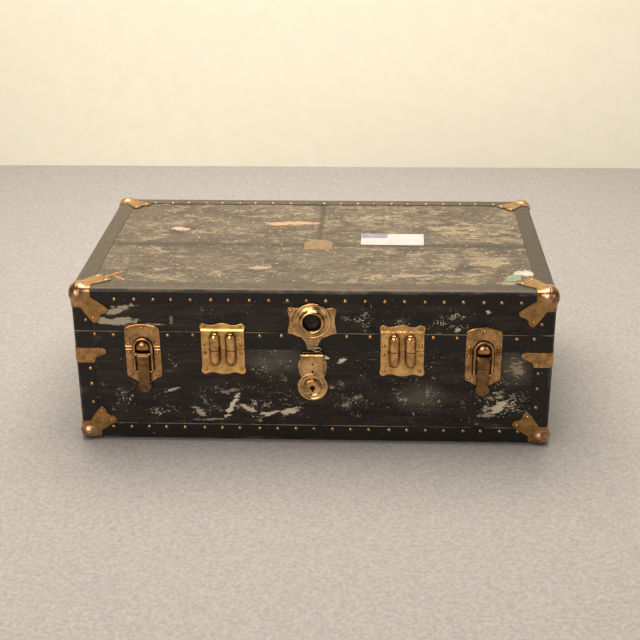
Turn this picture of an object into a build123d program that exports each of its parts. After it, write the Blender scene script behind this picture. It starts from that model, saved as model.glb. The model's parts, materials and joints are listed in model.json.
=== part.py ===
from build123d import *
import os
from math import cos, radians, sin

# A cabin trunk: a plywood box and lid under vulcanised fibre, bound with fibre strips and brass.
# Millimetres.  +X is the trunk's right, -Y its front and +Z up.  The origin is on the floor,
# below the middle of the overall box.  The carcass is drawn centred on the origin, and every
# piece is moved by carcass_shift as it is written, because front and back reach out unequally.

# ---- driving sizes: the body ----
trunk_width = 914.0          # over the edge bindings
trunk_depth = 538.0
base_height = 197.5          # from the bindings' underside to the parting line
lid_height = 123.0           # from the parting line to the bindings' top
edge_radius = 8.5            # every outer edge of the bindings
rim_gap = 0.3                # between the two rims when the lid is shut
ply = 6.0
fibre = 1.2                  # the covering
binding = 1.5
lining = 0.6
binding_width = 35.0
binding_drop = 28.0          # the lid top binding's flange down the walls

# ---- driving sizes: corners and rims ----
cap_sheet = 1.2              # brass of the corner caps and corner plates
cap_root = 40.0              # how far a cap covers each edge from the corner
cap_reach = 51.0             # from both edges to the middle between a leaf's two lobes
cap_spread = 7.25            # from that middle to each lobe's centre, along each edge
cap_lobe = 9.0
cap_waist = 3.5
ball_radius = 20.5
ball_proud = 4.0
ball_wear = 0.5              # the lower balls are worn flat by this much
corner_cut = 17.2            # the box's corners are taken off under the balls, along x + y + z
easing = 0.6                 # hidden edges are eased flat, by this share of the rounding outside them
corner_plate_top = 54.0      # along the rim to the end lobe's centre
corner_plate_drop = 31.0
corner_plate_lobe = 7.0
corner_plate_foot = 36.0
valance_sheet = 1.0          # steel strip inside the base rim, which the lid closes over
valance_rise = 10.0
valance_hold = 18.0
valance_end = 21.0           # from the stay studs to the side strips' ends

# ---- driving sizes: lid hinges and stays ----
hinge_spacing = 270.0        # from the middle of the trunk
hinge_width = 60.0
hinge_sheet = 1.5
hinge_leaf = 52.0
hinge_corner = 10.0
knuckle_radius = 4.5
knuckle_gap = 0.4
knuckle_clearance = 0.4      # from the middle knuckle to the rim band
pin_radius = 2.0
pin_fit = 0.05               # radial play of every running pin
stay_radius = 76.0           # from the hinge line to both ends of a stay
stay_stud_angle = 12.0       # above the level, on the lid
stay_post_angle = 36.0       # below the level, on the base
lid_opening = 95.0
stay_width = 14.0
stay_sheet = 2.0
stay_standoff = 3.5          # from the lining to the arm
stay_post_pin = 3.0
stay_stud_pin = 2.8
stay_slot_play = 0.4
stay_flange = 8.0            # half the side of a post's block
stay_head = 5.0              # half the side of its washer
stay_head_sheet = 1.5
side_play = 0.3              # flat clearance beside the moving pieces

# ---- driving sizes: draw bolts ----
drawbolt_spacing = 325.0     # from the middle of the trunk
drawbolt_half = 34.0
drawbolt_shoulder = 34.0     # above the parting line
drawbolt_crown = 51.0
drawbolt_heel = 58.0         # below the parting line, where the foot's chamfers start
drawbolt_foot = 71.5
drawbolt_foot_half = 15.0
fitting_sheet = 1.5
bolt_plane = 6.0             # pivots and loop, out from the covering
lever_pivot_drop = 11.0
lever_pin = 1.9
lever_knuckle = 4.0
lever_half = 11.5
lever_sheet = 2.2
lever_bridge = 20.0          # length of the thicker upper part
lever_bridge_rise = 1.2
lever_loop_drop = 37.0       # from the lever pivot to the loop
lever_tail = 62.5            # from the lever pivot to the spade
lever_spade = 17.0
lever_spade_half = 13.5
ear_sheet = 2.0
loop_foot = 2.4              # radius of the rod through the lever
loop_bar = 5.2               # width of the loop's legs, seen from the front
loop_thick = 4.4
loop_half = 16.9             # to the middle of the legs
loop_arch_height = 4.0       # arch centre above the parting line
catch_radius = 13.2
catch_rise = 9.0

# ---- driving sizes: dowels ----
dowel_spacing = 171.0
dowel_plate_half = 43.3
dowel_plate_waist = 2.0
dowel_plate_reach = 46.0     # from the parting line to the corner lobes' centres
dowel_plate_lobe = 7.3
dowel_plate_crest = 1.0      # the crest's height over the lobes
dowel_plate_scallop = 3.5
dowel_pitch = 30.6
dowel_hood = 9.8
dowel_hood_reach = 25.0
dowel_hood_plane = 2.0
dowel_plane = 6.2
dowel_pin = 3.6
dowel_pin_show = 9.0
dowel_play = 0.6             # round a pin in its socket
dowel_socket_end = 2.0       # below a pin's end

# ---- driving sizes: lock ----
hasp_pivot_drop = 8.0
hasp_plane = 9.5             # hinge line, out from the covering
hasp_arm = 69.0              # from the hinge line to the head and to the receiver
hasp_sheet = 2.0
hasp_gap = 0.7               # from the lock's base plate to the hanging hasp
hasp_half = 21.5
hasp_joggle = 9.0
hasp_knuckle = 3.2
hasp_knuckle_half = 19.6
hasp_pin = 1.5
hasp_ear = 2.5
head_radius = 29.6
plug_radius = 16.2
plug_rise = 7.0
plug_bore = 5.0
keyway_half = 1.6
keyway_reach = 8.5
lock_cheek_half = 27.8
lock_waist_half = 23.5
receiver_flange = 36.0
receiver_flange_rise = 3.0
receiver_collar = 25.0
receiver_bore = 17.0
receiver_height = 11.5       # from the lid plate to the lip
wing_half = 46.6
wing_reach = 27.5            # from the receiver's centre to the wings' lobes
wing_lobe = 6.2
wing_hollow = 4.0
neck_half = 12.0
neck_tip_half = 9.0

# ---- driving sizes: end handles ----
handle_height = 150.0        # bail pivots, above the floor
handle_plate_half = 66.0
handle_plate_height = 34.0
handle_plate_sheet = 1.6
handle_plane = 12.5          # bail pivots, out from the covering
handle_lug_out = 54.0        # outer faces of the two lugs, from the middle
handle_lug_width = 9.0
handle_lug_radius = 6.8
trunnion = 3.4
bail_bar = 6.8
bail_thick = 5.0
bail_play = 1.0              # from a lug to the bail's leg
bail_drop = 48.0
bail_corner = 12.0
grip_radius = 8.0
grip_half = 42.0

# ---- places worked out from the sizes ----
stance = ball_proud - ball_wear
floor_level = stance
parting = stance + base_height
top_level = parting + lid_height
base_rim = parting - rim_gap / 2
lid_rim = parting + rim_gap / 2
ply_face = binding + fibre            # insets from the bindings' outer faces
ply_back = ply_face + ply
lining_face = ply_back + lining
back_face = trunk_depth / 2 - binding
hinge_line = trunk_depth / 2 + knuckle_clearance + knuckle_radius
front_reach = receiver_height + fitting_sheet
back_reach = knuckle_clearance + 2 * knuckle_radius
carcass_shift = (front_reach - back_reach) / 2
inner_half_width = trunk_width / 2 - lining_face
big = 4 * trunk_width                 # larger than anything, for cutting

# x to the right, y up and z out of the trunk, from the covering's face
front_frame = Location(Plane((0, -back_face, 0), x_dir=(1, 0, 0), z_dir=(0, -1, 0)))
right_frame = Location(Plane((trunk_width / 2 - binding, 0, 0), x_dir=(0, 1, 0), z_dir=(1, 0, 0)))
lid_face = binding                    # the rim band lifts the lid's fittings by its thickness


def write(name, *pieces):
    """Write one node, moved from the carcass's own middle to the overall box's."""
    solids = [solid for piece in pieces for solid in piece.solids()]
    export_step(Pos(0, carcass_shift, 0) * Compound(children=solids), f"parts/{name}.step")


def below(piece, height):
    return split(piece, bisect_by=Plane.XY.offset(height), keep=Keep.BOTTOM)


def above(piece, height):
    return split(piece, bisect_by=Plane.XY.offset(height), keep=Keep.TOP)


def outside(piece, rise):
    """What of a piece in a face's frame lies further out than a rise."""
    return split(piece, bisect_by=Plane.XY.offset(rise), keep=Keep.TOP)


def slab(x_range, y_range, z_range):
    """A box between three pairs of limits."""
    sizes = [high - low for low, high in (x_range, y_range, z_range)]
    middle = [(low + high) / 2 for low, high in (x_range, y_range, z_range)]
    return Pos(*middle) * Box(*sizes)


def left_and_right(piece):
    return [piece, mirror(piece, about=Plane.YZ)]


def four_corners(piece):
    return [twin for half in left_and_right(piece) for twin in (half, mirror(half, about=Plane.XZ))]


def symmetric_face(edges):
    """A face from the right half of its outline, which starts and ends on the centre line."""
    return make_face(list(edges) + [mirror(edge, about=Plane.YZ) for edge in edges])


def around(center, radius, degrees):
    """The point on a circle at an angle from the x direction."""
    return (center[0] + radius * cos(radians(degrees)), center[1] + radius * sin(radians(degrees)))


def turned(profile):
    """A turned piece about z, from its section as a run of (radius, height) points."""
    points = [(radius, 0, height) for radius, height in profile]
    return revolve(make_face(Polyline(*points, close=True)), Axis.Z)


def across(section, x_low, x_high):
    """A section in (y, z) drawn out between two places along x."""
    return Plane.YZ.offset(x_low) * extrude(section, x_high - x_low, dir=(0, 0, 1))


def side_slice(section, x_low, x_high):
    """A side view in (out, up) drawn out between two places along a front fitting's x."""
    side = Plane((x_low, 0, 0), x_dir=(0, 0, 1), z_dir=(-1, 0, 0))
    return side * extrude(section, x_high - x_low, dir=(0, 0, -1))


# ---- box and lid ----

def without_corner(block, corner, inward):
    """The block with one corner cut off square to the way in."""
    cut = Plane(corner + inward.normalized() * (corner_cut / 3 ** 0.5), z_dir=inward)
    return split(block, bisect_by=cut, keep=Keep.TOP)


def body_block(inset):
    """The shut trunk's block, drawn in from the bindings' outer faces.  The bindings' own edges
    are rounded and those under them eased flat, and all lose their corners under the balls."""
    height = base_height + lid_height
    block = Box(trunk_width - 2 * inset, trunk_depth - 2 * inset, height - 2 * inset)
    if inset:
        block = chamfer(block.edges(), easing * (edge_radius - inset))
    else:
        block = fillet(block.edges(), edge_radius)
    for x in (-1, 1):
        for y in (-1, 1):
            for z in (-1, 1):
                corner = Vector(x * trunk_width / 2, y * trunk_depth / 2, z * height / 2)
                block = without_corner(block, corner, Vector(-x, -y, -z))
    return Pos(0, 0, (floor_level + top_level) / 2) * block


def panels():
    """Butt-jointed plywood: a bottom or top board, full-width front and back, and ends between."""
    core = body_block(ply_face)
    half_width = trunk_width / 2 - ply_back
    half_depth = trunk_depth / 2 - ply_back
    board_levels = (floor_level + ply_back, top_level - ply_back)
    write("base_bottom_panel", below(core, board_levels[0]))
    write("lid_top_panel", above(core, board_levels[1]))
    wall_levels = {"base": (board_levels[0], base_rim), "lid": (lid_rim, board_levels[1])}
    for half, levels in wall_levels.items():
        front = core & slab((-big, big), (-big, -half_depth), levels)
        end = core & slab((half_width, big), (-half_depth, half_depth), levels)
        write(f"{half}_front_panel", front)
        write(f"{half}_back_panel", mirror(front, about=Plane.XZ))
        write(f"{half}_right_panel", end)
        write(f"{half}_left_panel", mirror(end, about=Plane.YZ))


def covering():
    skin = body_block(binding) - body_block(ply_face)
    write("base_covering", below(skin, base_rim))
    write("lid_covering", above(skin, lid_rim))


def linings():
    """Paper on the inside.  In the lid it stops short of the rim, where the valance enters."""
    outer_x = trunk_width / 2 - ply_back
    outer_y = trunk_depth / 2 - ply_back
    inner_x = outer_x - lining
    inner_y = outer_y - lining
    lid_hem = lid_rim + valance_rise + valance_rise / 2
    for name, low, high, hollow in (
        ("base_lining", floor_level + ply_back, base_rim, (floor_level + lining_face, big)),
        ("lid_lining", lid_hem, top_level - ply_back, (-big, top_level - lining_face)),
    ):
        block = slab((-outer_x, outer_x), (-outer_y, outer_y), (low, high))
        write(name, block - slab((-inner_x, inner_x), (-inner_y, inner_y), hollow))


def bindings():
    """Fibre strips folded over the edges: a ring at the top, one at the foot, the lid's rim band
    and four upright strips on each half between them."""
    shell = body_block(0) - body_block(binding)
    window = slab(
        (binding_width - trunk_width / 2, trunk_width / 2 - binding_width),
        (binding_width - trunk_depth / 2, trunk_depth / 2 - binding_width),
        (-big, big),
    )
    foot_top = floor_level + binding_width
    band_top = lid_rim + binding_width
    ring_foot = top_level - binding_drop
    write("base_foot_binding", below(shell, foot_top) - window)
    write("lid_top_binding", above(shell, ring_foot) - window)
    write("lid_rim_band", above(below(shell, band_top), lid_rim))
    post = slab(
        (trunk_width / 2 - binding_width, big),
        (trunk_depth / 2 - binding_width, big),
        (-big, big),
    )
    upright = shell & post
    write("base_corner_bindings", *four_corners(above(below(upright, base_rim), foot_top)))
    write("lid_corner_bindings", *four_corners(above(below(upright, ring_foot), band_top)))


# ---- corners ----

def cap_leaf():
    """One leaf of a corner cap, in the first quarter from the corner: a waisted diagonal that
    spreads into two nipped rivet lobes."""
    lobe = (cap_reach + cap_spread, cap_reach - cap_spread)
    half = [(cap_root, 0), (cap_root + cap_waist, cap_root / 2)]
    half += [around(lobe, cap_lobe, degrees) for degrees in (-35, 10, 60)]
    other_half = [(y, x) for x, y in reversed(half)]
    return make_face(Polyline((0, 0), *half, *other_half, close=True))


def corner_cap():
    """A cap on the right back top corner: three leaves and a ball over the point."""
    span = 2 * (cap_reach + cap_spread + cap_lobe)
    to_corner = (Align.MAX, Align.MAX, Align.MAX)
    inward = Vector(-1, -1, -1)
    inner = fillet(Box(span, span, span, align=to_corner).edges(), edge_radius)
    inner = without_corner(inner, Vector(0, 0, 0), inward)
    outer = Pos(cap_sheet, cap_sheet, cap_sheet) * Box(span, span, span, align=to_corner)
    outer = fillet(outer.edges(), edge_radius + cap_sheet)
    outer = without_corner(outer, Vector(0, 0, 0), inward)
    prism = Pos(0, 0, -edge_radius) * Rot(0, 0, 180) * extrude(cap_leaf(), edge_radius + cap_sheet)
    overhang = Pos(cap_sheet, cap_sheet, 0)
    leaves = Part()
    for face in (Plane.XY, Plane.YZ, Plane.ZX):
        leaves += face * (prism + overhang * prism)
    inset = ball_radius - ball_proud
    point = Box(inset + ball_radius, inset + ball_radius, inset + ball_radius,
                align=(Align.MIN, Align.MIN, Align.MIN))
    center = Plane((-inset, -inset, -inset), x_dir=inward, z_dir=(1, -1, 0)).location
    ball = center * Sphere(ball_radius)
    cap = ((outer - inner) & leaves) - Pos(-inset, -inset, -inset) * point + (ball - inner)
    return Pos(trunk_width / 2, trunk_depth / 2, top_level) * cap


def corner_caps():
    cap = corner_cap()
    write("lid_corner_caps", *four_corners(cap))
    middle = Plane.XY.offset((floor_level + top_level) / 2)
    write("base_corner_caps", *four_corners(above(mirror(cap, about=middle), 0)))


def corner_plates():
    """Brass plates folded round the base's upright edges just under the rim."""
    lobe = (corner_plate_top, -corner_plate_lobe)
    step = (corner_plate_foot + corner_plate_lobe / 2, -corner_plate_drop * 2 / 3)
    outline = make_face(Polyline(
        (0, 0), (corner_plate_top, 0), around(lobe, corner_plate_lobe, 30),
        around(lobe, corner_plate_lobe, -30), around(lobe, corner_plate_lobe, -90), step,
        (corner_plate_foot, -corner_plate_drop), (0, -corner_plate_drop), close=True,
    ))
    outline = extrude(outline, edge_radius, both=True)
    on_back = Plane((0, 0, 0), x_dir=(-1, 0, 0), z_dir=(0, 1, 0)) * outline
    on_end = Plane((0, 0, 0), x_dir=(0, -1, 0), z_dir=(-1, 0, 0)) * outline
    overhang = Pos(cap_sheet, cap_sheet, 0)
    reach = on_back + on_end + overhang * on_back + overhang * on_end
    span = 3 * corner_plate_top
    to_edge = (Align.MAX, Align.MAX, Align.CENTER)
    inner = Box(span, span, span, align=to_edge)
    inner = fillet(inner.edges().filter_by(Axis.Z), edge_radius)
    outer = Pos(cap_sheet, cap_sheet, 0) * Box(span, span, span, align=to_edge)
    outer = fillet(outer.edges().filter_by(Axis.Z), edge_radius + cap_sheet)
    plate = Pos(trunk_width / 2, trunk_depth / 2, base_rim) * ((outer - inner) & reach)
    write("base_corner_plates", *four_corners(plate))


def valances():
    """Steel strips inside the base rim at the front and the two ends."""
    half_width = inner_half_width
    half_depth = trunk_depth / 2 - lining_face
    levels = (base_rim - valance_hold, parting + valance_rise)
    stud_y = hinge_line - stay_radius * cos(radians(stay_stud_angle))
    front = slab((-half_width, half_width), (-half_depth, valance_sheet - half_depth), levels)
    end_strip = slab(
        (half_width - valance_sheet, half_width),
        (valance_sheet - half_depth, stud_y - valance_end),
        levels,
    )
    write("front_valance", front)
    write("side_valances", *left_and_right(end_strip))


# ---- hinges and stays ----

def knuckle_ranges():
    """Where a hinge's three knuckles lie along x: the middle one is the base leaf's."""
    third = hinge_width / 3
    half_gap = knuckle_gap / 2
    outer = (third / 2 + half_gap, hinge_width / 2)
    return (-third / 2 + half_gap, third / 2 - half_gap), [outer, (-outer[1], -outer[0])]


def hinge_leaf_plate(y_low, z_low, z_high, far_end):
    """A leaf's flat, with the two corners of its far end taken off."""
    half = hinge_width / 2
    leaf = slab((-half, half), (y_low, y_low + hinge_sheet), (z_low, z_high))
    corners = leaf.edges().filter_by(Axis.Y).group_by(Axis.Z)[far_end]
    return chamfer(corners, hinge_corner)


def hinges():
    """Two butt hinges on the back, each with its barrel outside the box and its pin held between
    the outer knuckles."""
    middle, outers = knuckle_ranges()
    center = (hinge_line, parting)
    barrel = Pos(*center) * Circle(knuckle_radius)
    bore = Pos(*center) * Circle(pin_radius + pin_fit)
    clear = parting + knuckle_radius + knuckle_clearance
    lid_leaf = hinge_leaf_plate(back_face + lid_face, clear, parting + hinge_leaf, -1)
    lid_strap = Polygon(
        (back_face + lid_face, parting),
        (back_face + lid_face + hinge_sheet, parting),
        (back_face + lid_face + hinge_sheet, clear),
        (back_face + lid_face, clear),
        align=None,
    )
    for x_low, x_high in outers:
        lid_leaf += across(barrel + lid_strap, x_low, x_high)
    base_top = parting - 2 * knuckle_radius
    base_leaf = hinge_leaf_plate(back_face, parting - hinge_leaf, base_top, 0)
    base_strap = Polygon(
        (back_face, base_top),
        (back_face + hinge_sheet, base_top),
        (hinge_line, parting - knuckle_radius + pin_fit),
        (hinge_line - knuckle_radius / 2, parting - knuckle_radius / 2),
        align=None,
    )
    base_leaf += across(barrel + base_strap - bore, *middle)
    pin = across(Pos(*center) * Circle(pin_radius), outers[1][1], outers[0][0])
    places = [Pos(x, 0, 0) for x in (-hinge_spacing, hinge_spacing)]
    write("lid_hinge_leaves", *[place * lid_leaf for place in places])
    write("base_hinge_leaves", *[place * base_leaf for place in places])
    write("hinge_pins", *[place * pin for place in places])


def shoulder_post(radius):
    """A riveted block and pin that hold a stay arm between the block and a square washer."""
    arm_top = stay_standoff + stay_sheet + side_play
    to_wall = (Align.CENTER, Align.CENTER, Align.MIN)
    post = Box(2 * stay_flange, 2 * stay_flange, stay_standoff - side_play, align=to_wall)
    post += Cylinder(radius, arm_top, align=to_wall)
    return post + Pos(0, 0, arm_top) * Box(2 * stay_head, 2 * stay_head, stay_head_sheet, align=to_wall)


def stays():
    """Slotted lid stays.  Post and stud are equally far from the hinge line, so an arm turns
    through half the lid's angle as the stud slides along its slot."""
    post_at = (-cos(radians(stay_post_angle)) * stay_radius, -sin(radians(stay_post_angle)) * stay_radius)
    stud_at = (-cos(radians(stay_stud_angle)) * stay_radius, sin(radians(stay_stud_angle)) * stay_radius)
    shut_chord = 2 * stay_radius * sin(radians(stay_stud_angle + stay_post_angle) / 2)
    open_chord = 2 * stay_radius * sin(radians(stay_stud_angle + stay_post_angle + lid_opening) / 2)
    slot_low = shut_chord - stay_slot_play
    slot_high = open_chord + stay_slot_play
    slot_radius = stay_stud_pin + stay_slot_play
    outline = Pos(slot_high / 2, 0) * Rectangle(slot_high + stay_width, stay_width)
    outline = chamfer(outline.vertices(), stay_width / 4)
    slot = SlotCenterToCenter(slot_high - slot_low, 2 * slot_radius)
    outline -= Pos((slot_high + slot_low) / 2, 0) * slot
    outline -= Circle(stay_post_pin + pin_fit)
    lean = (stay_stud_angle - stay_post_angle) / 2
    wall = inner_half_width
    arm_plane = Plane((wall - stay_standoff, hinge_line + post_at[0], parting + post_at[1]),
                      x_dir=(0, sin(radians(lean)), cos(radians(lean))), z_dir=(-1, 0, 0))
    arm = arm_plane * extrude(outline, stay_sheet)
    sides = left_and_right(arm)
    write("right_stay_arm", sides[0])
    write("left_stay_arm", sides[1])

    def on_wall(post, place):
        at = (wall, hinge_line + place[0], parting + place[1])
        wall_plane = Plane(at, x_dir=(0, 1, 0), z_dir=(-1, 0, 0))
        return left_and_right(wall_plane * post)

    write("stay_posts", *on_wall(shoulder_post(stay_post_pin), post_at))
    write("stay_studs", *on_wall(shoulder_post(stay_stud_pin), stud_at))


# ---- draw bolts ----

def drawbolt_catch():
    """The lid's arched plate with the round hood that the loop is drawn down over."""
    shoulder = (drawbolt_half, parting + drawbolt_shoulder)
    crown = (0, parting + drawbolt_crown)
    arch = ThreePointArc(shoulder, crown, (-shoulder[0], shoulder[1]))
    foot = (drawbolt_half, lid_rim)
    walls = Polyline((-shoulder[0], shoulder[1]), (-foot[0], foot[1]), foot, shoulder)
    plate = Pos(0, 0, lid_face) * extrude(make_face([arch, walls]), fitting_sheet)
    face = lid_face + fitting_sheet
    sphere = (catch_radius ** 2 + catch_rise ** 2) / (2 * catch_rise)
    hood = Pos(0, parting + loop_arch_height, face + catch_rise - sphere) * Rot(90, 0, 0) * Sphere(sphere)
    hood = hood & slab((-big, big), (lid_rim, big), (face - fitting_sheet / 2, big))
    return plate + hood


def drawbolt_keeper():
    """The base's plate, with two ears that carry the lever's pin."""
    pivot = parting - lever_pivot_drop
    heel = (drawbolt_half, parting - drawbolt_heel)
    foot = (drawbolt_foot_half, parting - drawbolt_foot)
    right_half = [(drawbolt_half, base_rim), heel, foot]
    left_half = [(-x, y) for x, y in reversed(right_half)]
    keeper = extrude(make_face(Polyline(*right_half, *left_half, close=True)), fitting_sheet)
    inner = lever_half + side_play
    ear_reach = bolt_plane + lever_knuckle
    ear = Pos(ear_reach / 2, pivot) * Rectangle(ear_reach, 2 * lever_knuckle)
    for x_low in (inner, -inner - ear_sheet):
        keeper += outside(side_slice(ear, x_low, x_low + ear_sheet), fitting_sheet / 2)
    return keeper


def drawbolt_lever():
    """The lever: a strap with an eye at its pin, one for the loop, and a spade to pull."""
    pivot = parting - lever_pivot_drop
    loop_at = pivot - lever_loop_drop
    back = bolt_plane + lever_knuckle - lever_sheet
    face = back + lever_sheet
    bridge_face = face + lever_bridge_rise
    tail = pivot - lever_tail
    eye = RegularPolygon(lever_knuckle, 8, rotation=22.5)
    strap = Pos((back + face) / 2, (pivot + tail) / 2) * Rectangle(lever_sheet, pivot - tail)
    bridge = Pos((bolt_plane + bridge_face) / 2, pivot - lever_bridge / 2)
    bridge = bridge * Rectangle(bridge_face - bolt_plane, lever_bridge)
    section = Pos(bolt_plane, pivot) * eye + Pos(bolt_plane, loop_at) * eye + strap + bridge
    section -= Pos(bolt_plane, pivot) * Circle(lever_pin + pin_fit)
    section -= Pos(bolt_plane, loop_at) * Circle(loop_foot + pin_fit)
    lever = side_slice(section, -lever_half, lever_half)
    right_half = [
        (lever_half, tail + lever_sheet), (lever_half, tail), (lever_spade_half, tail - lever_spade / 3),
        (lever_spade_half * 0.8, tail - lever_spade * 0.75), (lever_spade_half * 0.3, tail - lever_spade),
    ]
    left_half = [(-x, y) for x, y in reversed(right_half)]
    spade = make_face(Polyline(*right_half, *left_half, close=True))
    return lever + Pos(0, 0, back) * extrude(spade, lever_sheet)


def drawbolt_loop():
    """A flat arched loop whose round foot runs through the lever."""
    foot = parting - lever_pivot_drop - lever_loop_drop
    spring = parting + loop_arch_height
    outer = loop_half + loop_bar / 2
    inner = loop_half - loop_bar / 2
    heel = foot - loop_foot
    loop = make_face([
        ThreePointArc((outer, spring), (0, spring + outer), (-outer, spring)),
        Polyline((-outer, spring), (-outer, heel), (-inner, heel), (-inner, spring)),
        ThreePointArc((-inner, spring), (0, spring + inner), (inner, spring)),
        Polyline((inner, spring), (inner, heel), (outer, heel), (outer, spring)),
    ])
    loop = Pos(0, 0, bolt_plane - loop_thick / 2) * extrude(loop, loop_thick)
    rod = side_slice(Pos(bolt_plane, foot) * Circle(loop_foot), -loop_half, loop_half)
    return loop + rod


def draw_bolts():
    pivot = parting - lever_pivot_drop
    pin_half = lever_half + side_play
    pin = side_slice(Pos(bolt_plane, pivot) * Circle(lever_pin), -pin_half, pin_half)

    def both(piece):
        return [front_frame * Pos(x, 0, 0) * piece for x in (-drawbolt_spacing, drawbolt_spacing)]

    write("drawbolt_catch_plates", *both(drawbolt_catch()))
    write("drawbolt_keeper_plates", *both(drawbolt_keeper()))
    write("drawbolt_pins", *both(pin))
    for side, lever, loop in zip(("left", "right"), both(drawbolt_lever()), both(drawbolt_loop())):
        write(f"{side}_drawbolt_lever", lever)
        write(f"{side}_drawbolt_loop", loop)


# ---- dowels ----

def dowel_plate_outline(rim):
    """The scalloped outline above the parting line: nipped corner lobes and a crest between."""
    lobe = (dowel_plate_half - dowel_plate_lobe, parting + dowel_plate_reach)
    waist = dowel_plate_half - dowel_plate_waist
    lobe_top = lobe[1] + dowel_plate_lobe
    lobe_edge = [around(lobe, dowel_plate_lobe, degrees) for degrees in (-30, 20, 65, 110)]
    scallop = (lobe[0] / 2, lobe_top - dowel_plate_scallop)
    crest = (lobe[0] / 6, lobe_top + dowel_plate_crest)
    right_half = [(waist, rim), (waist, lobe_edge[0][1] - dowel_plate_waist), *lobe_edge, scallop, crest]
    left_half = [(-x, y) for x, y in reversed(right_half)]
    return make_face(Polyline(*right_half, *left_half, close=True))


def dowel_plate(rim, plate_rise):
    """The upper half of a dowel fitting: a plate pressed with two round-backed hoods."""
    face = plate_rise + fitting_sheet
    plate = Pos(0, 0, plate_rise) * extrude(dowel_plate_outline(rim), fitting_sheet)
    hood = Cylinder(dowel_hood, dowel_hood_reach + dowel_hood, align=(Align.CENTER, Align.CENTER, Align.MIN))
    slope = Plane((0, -dowel_hood, dowel_hood_reach), z_dir=(0, 1, -1))
    hood = split(hood, bisect_by=slope, keep=Keep.TOP)
    for x in (-dowel_pitch / 2, dowel_pitch / 2):
        plate += outside(Pos(x, rim, dowel_hood_plane) * Rot(-90, 0, 0) * hood, face - fitting_sheet / 2)
    return plate


def dowels():
    """Two pairs of dowels that line the lid up: pins on the lid enter sockets on the base."""
    upright = Rot(-90, 0, 0)
    from_top = (Align.CENTER, Align.CENTER, Align.MAX)
    pin = Cylinder(dowel_pin, dowel_pin_show, align=from_top)
    socket = Cylinder(dowel_pin + dowel_play, dowel_pin_show + dowel_socket_end, align=from_top)
    pin_plate = dowel_plate(lid_rim, lid_face)
    parting_plane = Plane((0, parting, 0), z_dir=(0, 1, 0))
    socket_plate = mirror(dowel_plate(lid_rim, 0), about=parting_plane)
    pins = []
    for x in (-dowel_pitch / 2, dowel_pitch / 2):
        pins += [Pos(x, lid_rim, dowel_plane) * upright * pin]
        socket_plate -= Pos(x, base_rim, dowel_plane) * upright * socket
    places = [front_frame * Pos(x, 0, 0) for x in (-dowel_spacing, dowel_spacing)]
    write("dowel_pin_plates", *[place * pin_plate for place in places])
    write("dowel_socket_plates", *[place * socket_plate for place in places])
    write("dowel_pins", *[place * piece for place in places for piece in pins])


# ---- lock ----

def hasp():
    """The hasp hangs from its bead, with a round head whose plug enters the receiver when the
    hasp is swung up through half a turn."""
    pivot = parting - hasp_pivot_drop
    head_at = pivot - hasp_arm
    back = fitting_sheet + hasp_gap
    face = back + hasp_sheet
    knee = pivot - hasp_joggle
    strap = Polygon(
        (hasp_plane - hasp_sheet, pivot), (hasp_plane, pivot - hasp_knuckle + pin_fit),
        (face, knee), (face, knee - hasp_sheet), (back, knee - hasp_sheet), (back, knee + hasp_sheet),
        align=None,
    )
    section = Pos(hasp_plane, pivot) * Circle(hasp_knuckle) + strap
    section -= Pos(hasp_plane, pivot) * Circle(hasp_pin + pin_fit)
    piece = side_slice(section, -hasp_knuckle_half, hasp_knuckle_half)
    piece += slab((-hasp_half, hasp_half), (head_at, knee + hasp_sheet / 2), (back, face))
    plug_face = face + plug_rise
    head = turned([
        (0, back), (head_radius, back), (head_radius, face), (plug_radius, face), (plug_radius, plug_face),
        (0, plug_face),
    ])
    keyhole = Circle(plug_bore) + Pos(0, -keyway_reach / 2) * Rectangle(2 * keyway_half, keyway_reach)
    piece += Pos(0, head_at, 0) * head
    return piece - Pos(0, head_at, 0) * extrude(keyhole, plug_face)


def lock_base():
    """The base's lock plate: cheeks beside the hasp, a round seat behind its head, and ears."""
    pivot = parting - hasp_pivot_drop
    head_at = pivot - hasp_arm
    top = pivot + hasp_knuckle
    seat = head_radius - fitting_sheet
    seat_points = [around((0, head_at), seat, degrees) for degrees in (50, 10, -30, -70)]
    shoulder = (hasp_half, pivot - hasp_joggle)
    waist = (lock_waist_half, seat_points[0][1] + hasp_sheet)
    cheek = (lock_cheek_half, (waist[1] + shoulder[1]) / 2)
    outline = symmetric_face([
        Line((0, top), (hasp_half, top)), Line((hasp_half, top), shoulder),
        ThreePointArc(shoulder, cheek, waist), Polyline(waist, *seat_points, (0, seat_points[-1][1])),
    ])
    plate = extrude(outline, fitting_sheet)
    ear_reach = hasp_plane + hasp_knuckle
    ear = Pos(ear_reach / 2, pivot) * Rectangle(ear_reach, 2 * hasp_knuckle)
    inner = hasp_knuckle_half + side_play
    for x_low in (inner, -inner - hasp_ear):
        plate += outside(side_slice(ear, x_low, x_low + hasp_ear), fitting_sheet / 2)
    return plate


def lock_lid_plate():
    """The lid's winged plate, with a neck that runs down over the rim band to the parting line."""
    center = parting - hasp_pivot_drop + hasp_arm
    lobe_x = wing_half - wing_lobe
    upper = (lobe_x, center + wing_reach - wing_lobe)
    lower = (lobe_x, center - wing_reach + wing_lobe)
    right_half = [around((0, center), receiver_flange, degrees) for degrees in (80, 50)]
    right_half += [around(upper, wing_lobe, degrees) for degrees in (110, 60, 20, -30)]
    right_half += [(wing_half - wing_hollow, center)]
    right_half += [around(lower, wing_lobe, degrees) for degrees in (30, -20, -60, -110)]
    right_half += [(neck_half + wing_lobe, center - wing_reach - wing_lobe)]
    right_half += [(neck_half, parting + 2 * neck_half), (neck_tip_half, lid_rim)]
    left_half = [(-x, y) for x, y in reversed(right_half)]
    outline = make_face(Polyline(*right_half, *left_half, close=True))
    return Pos(0, 0, lid_face) * extrude(outline, fitting_sheet)


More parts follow.
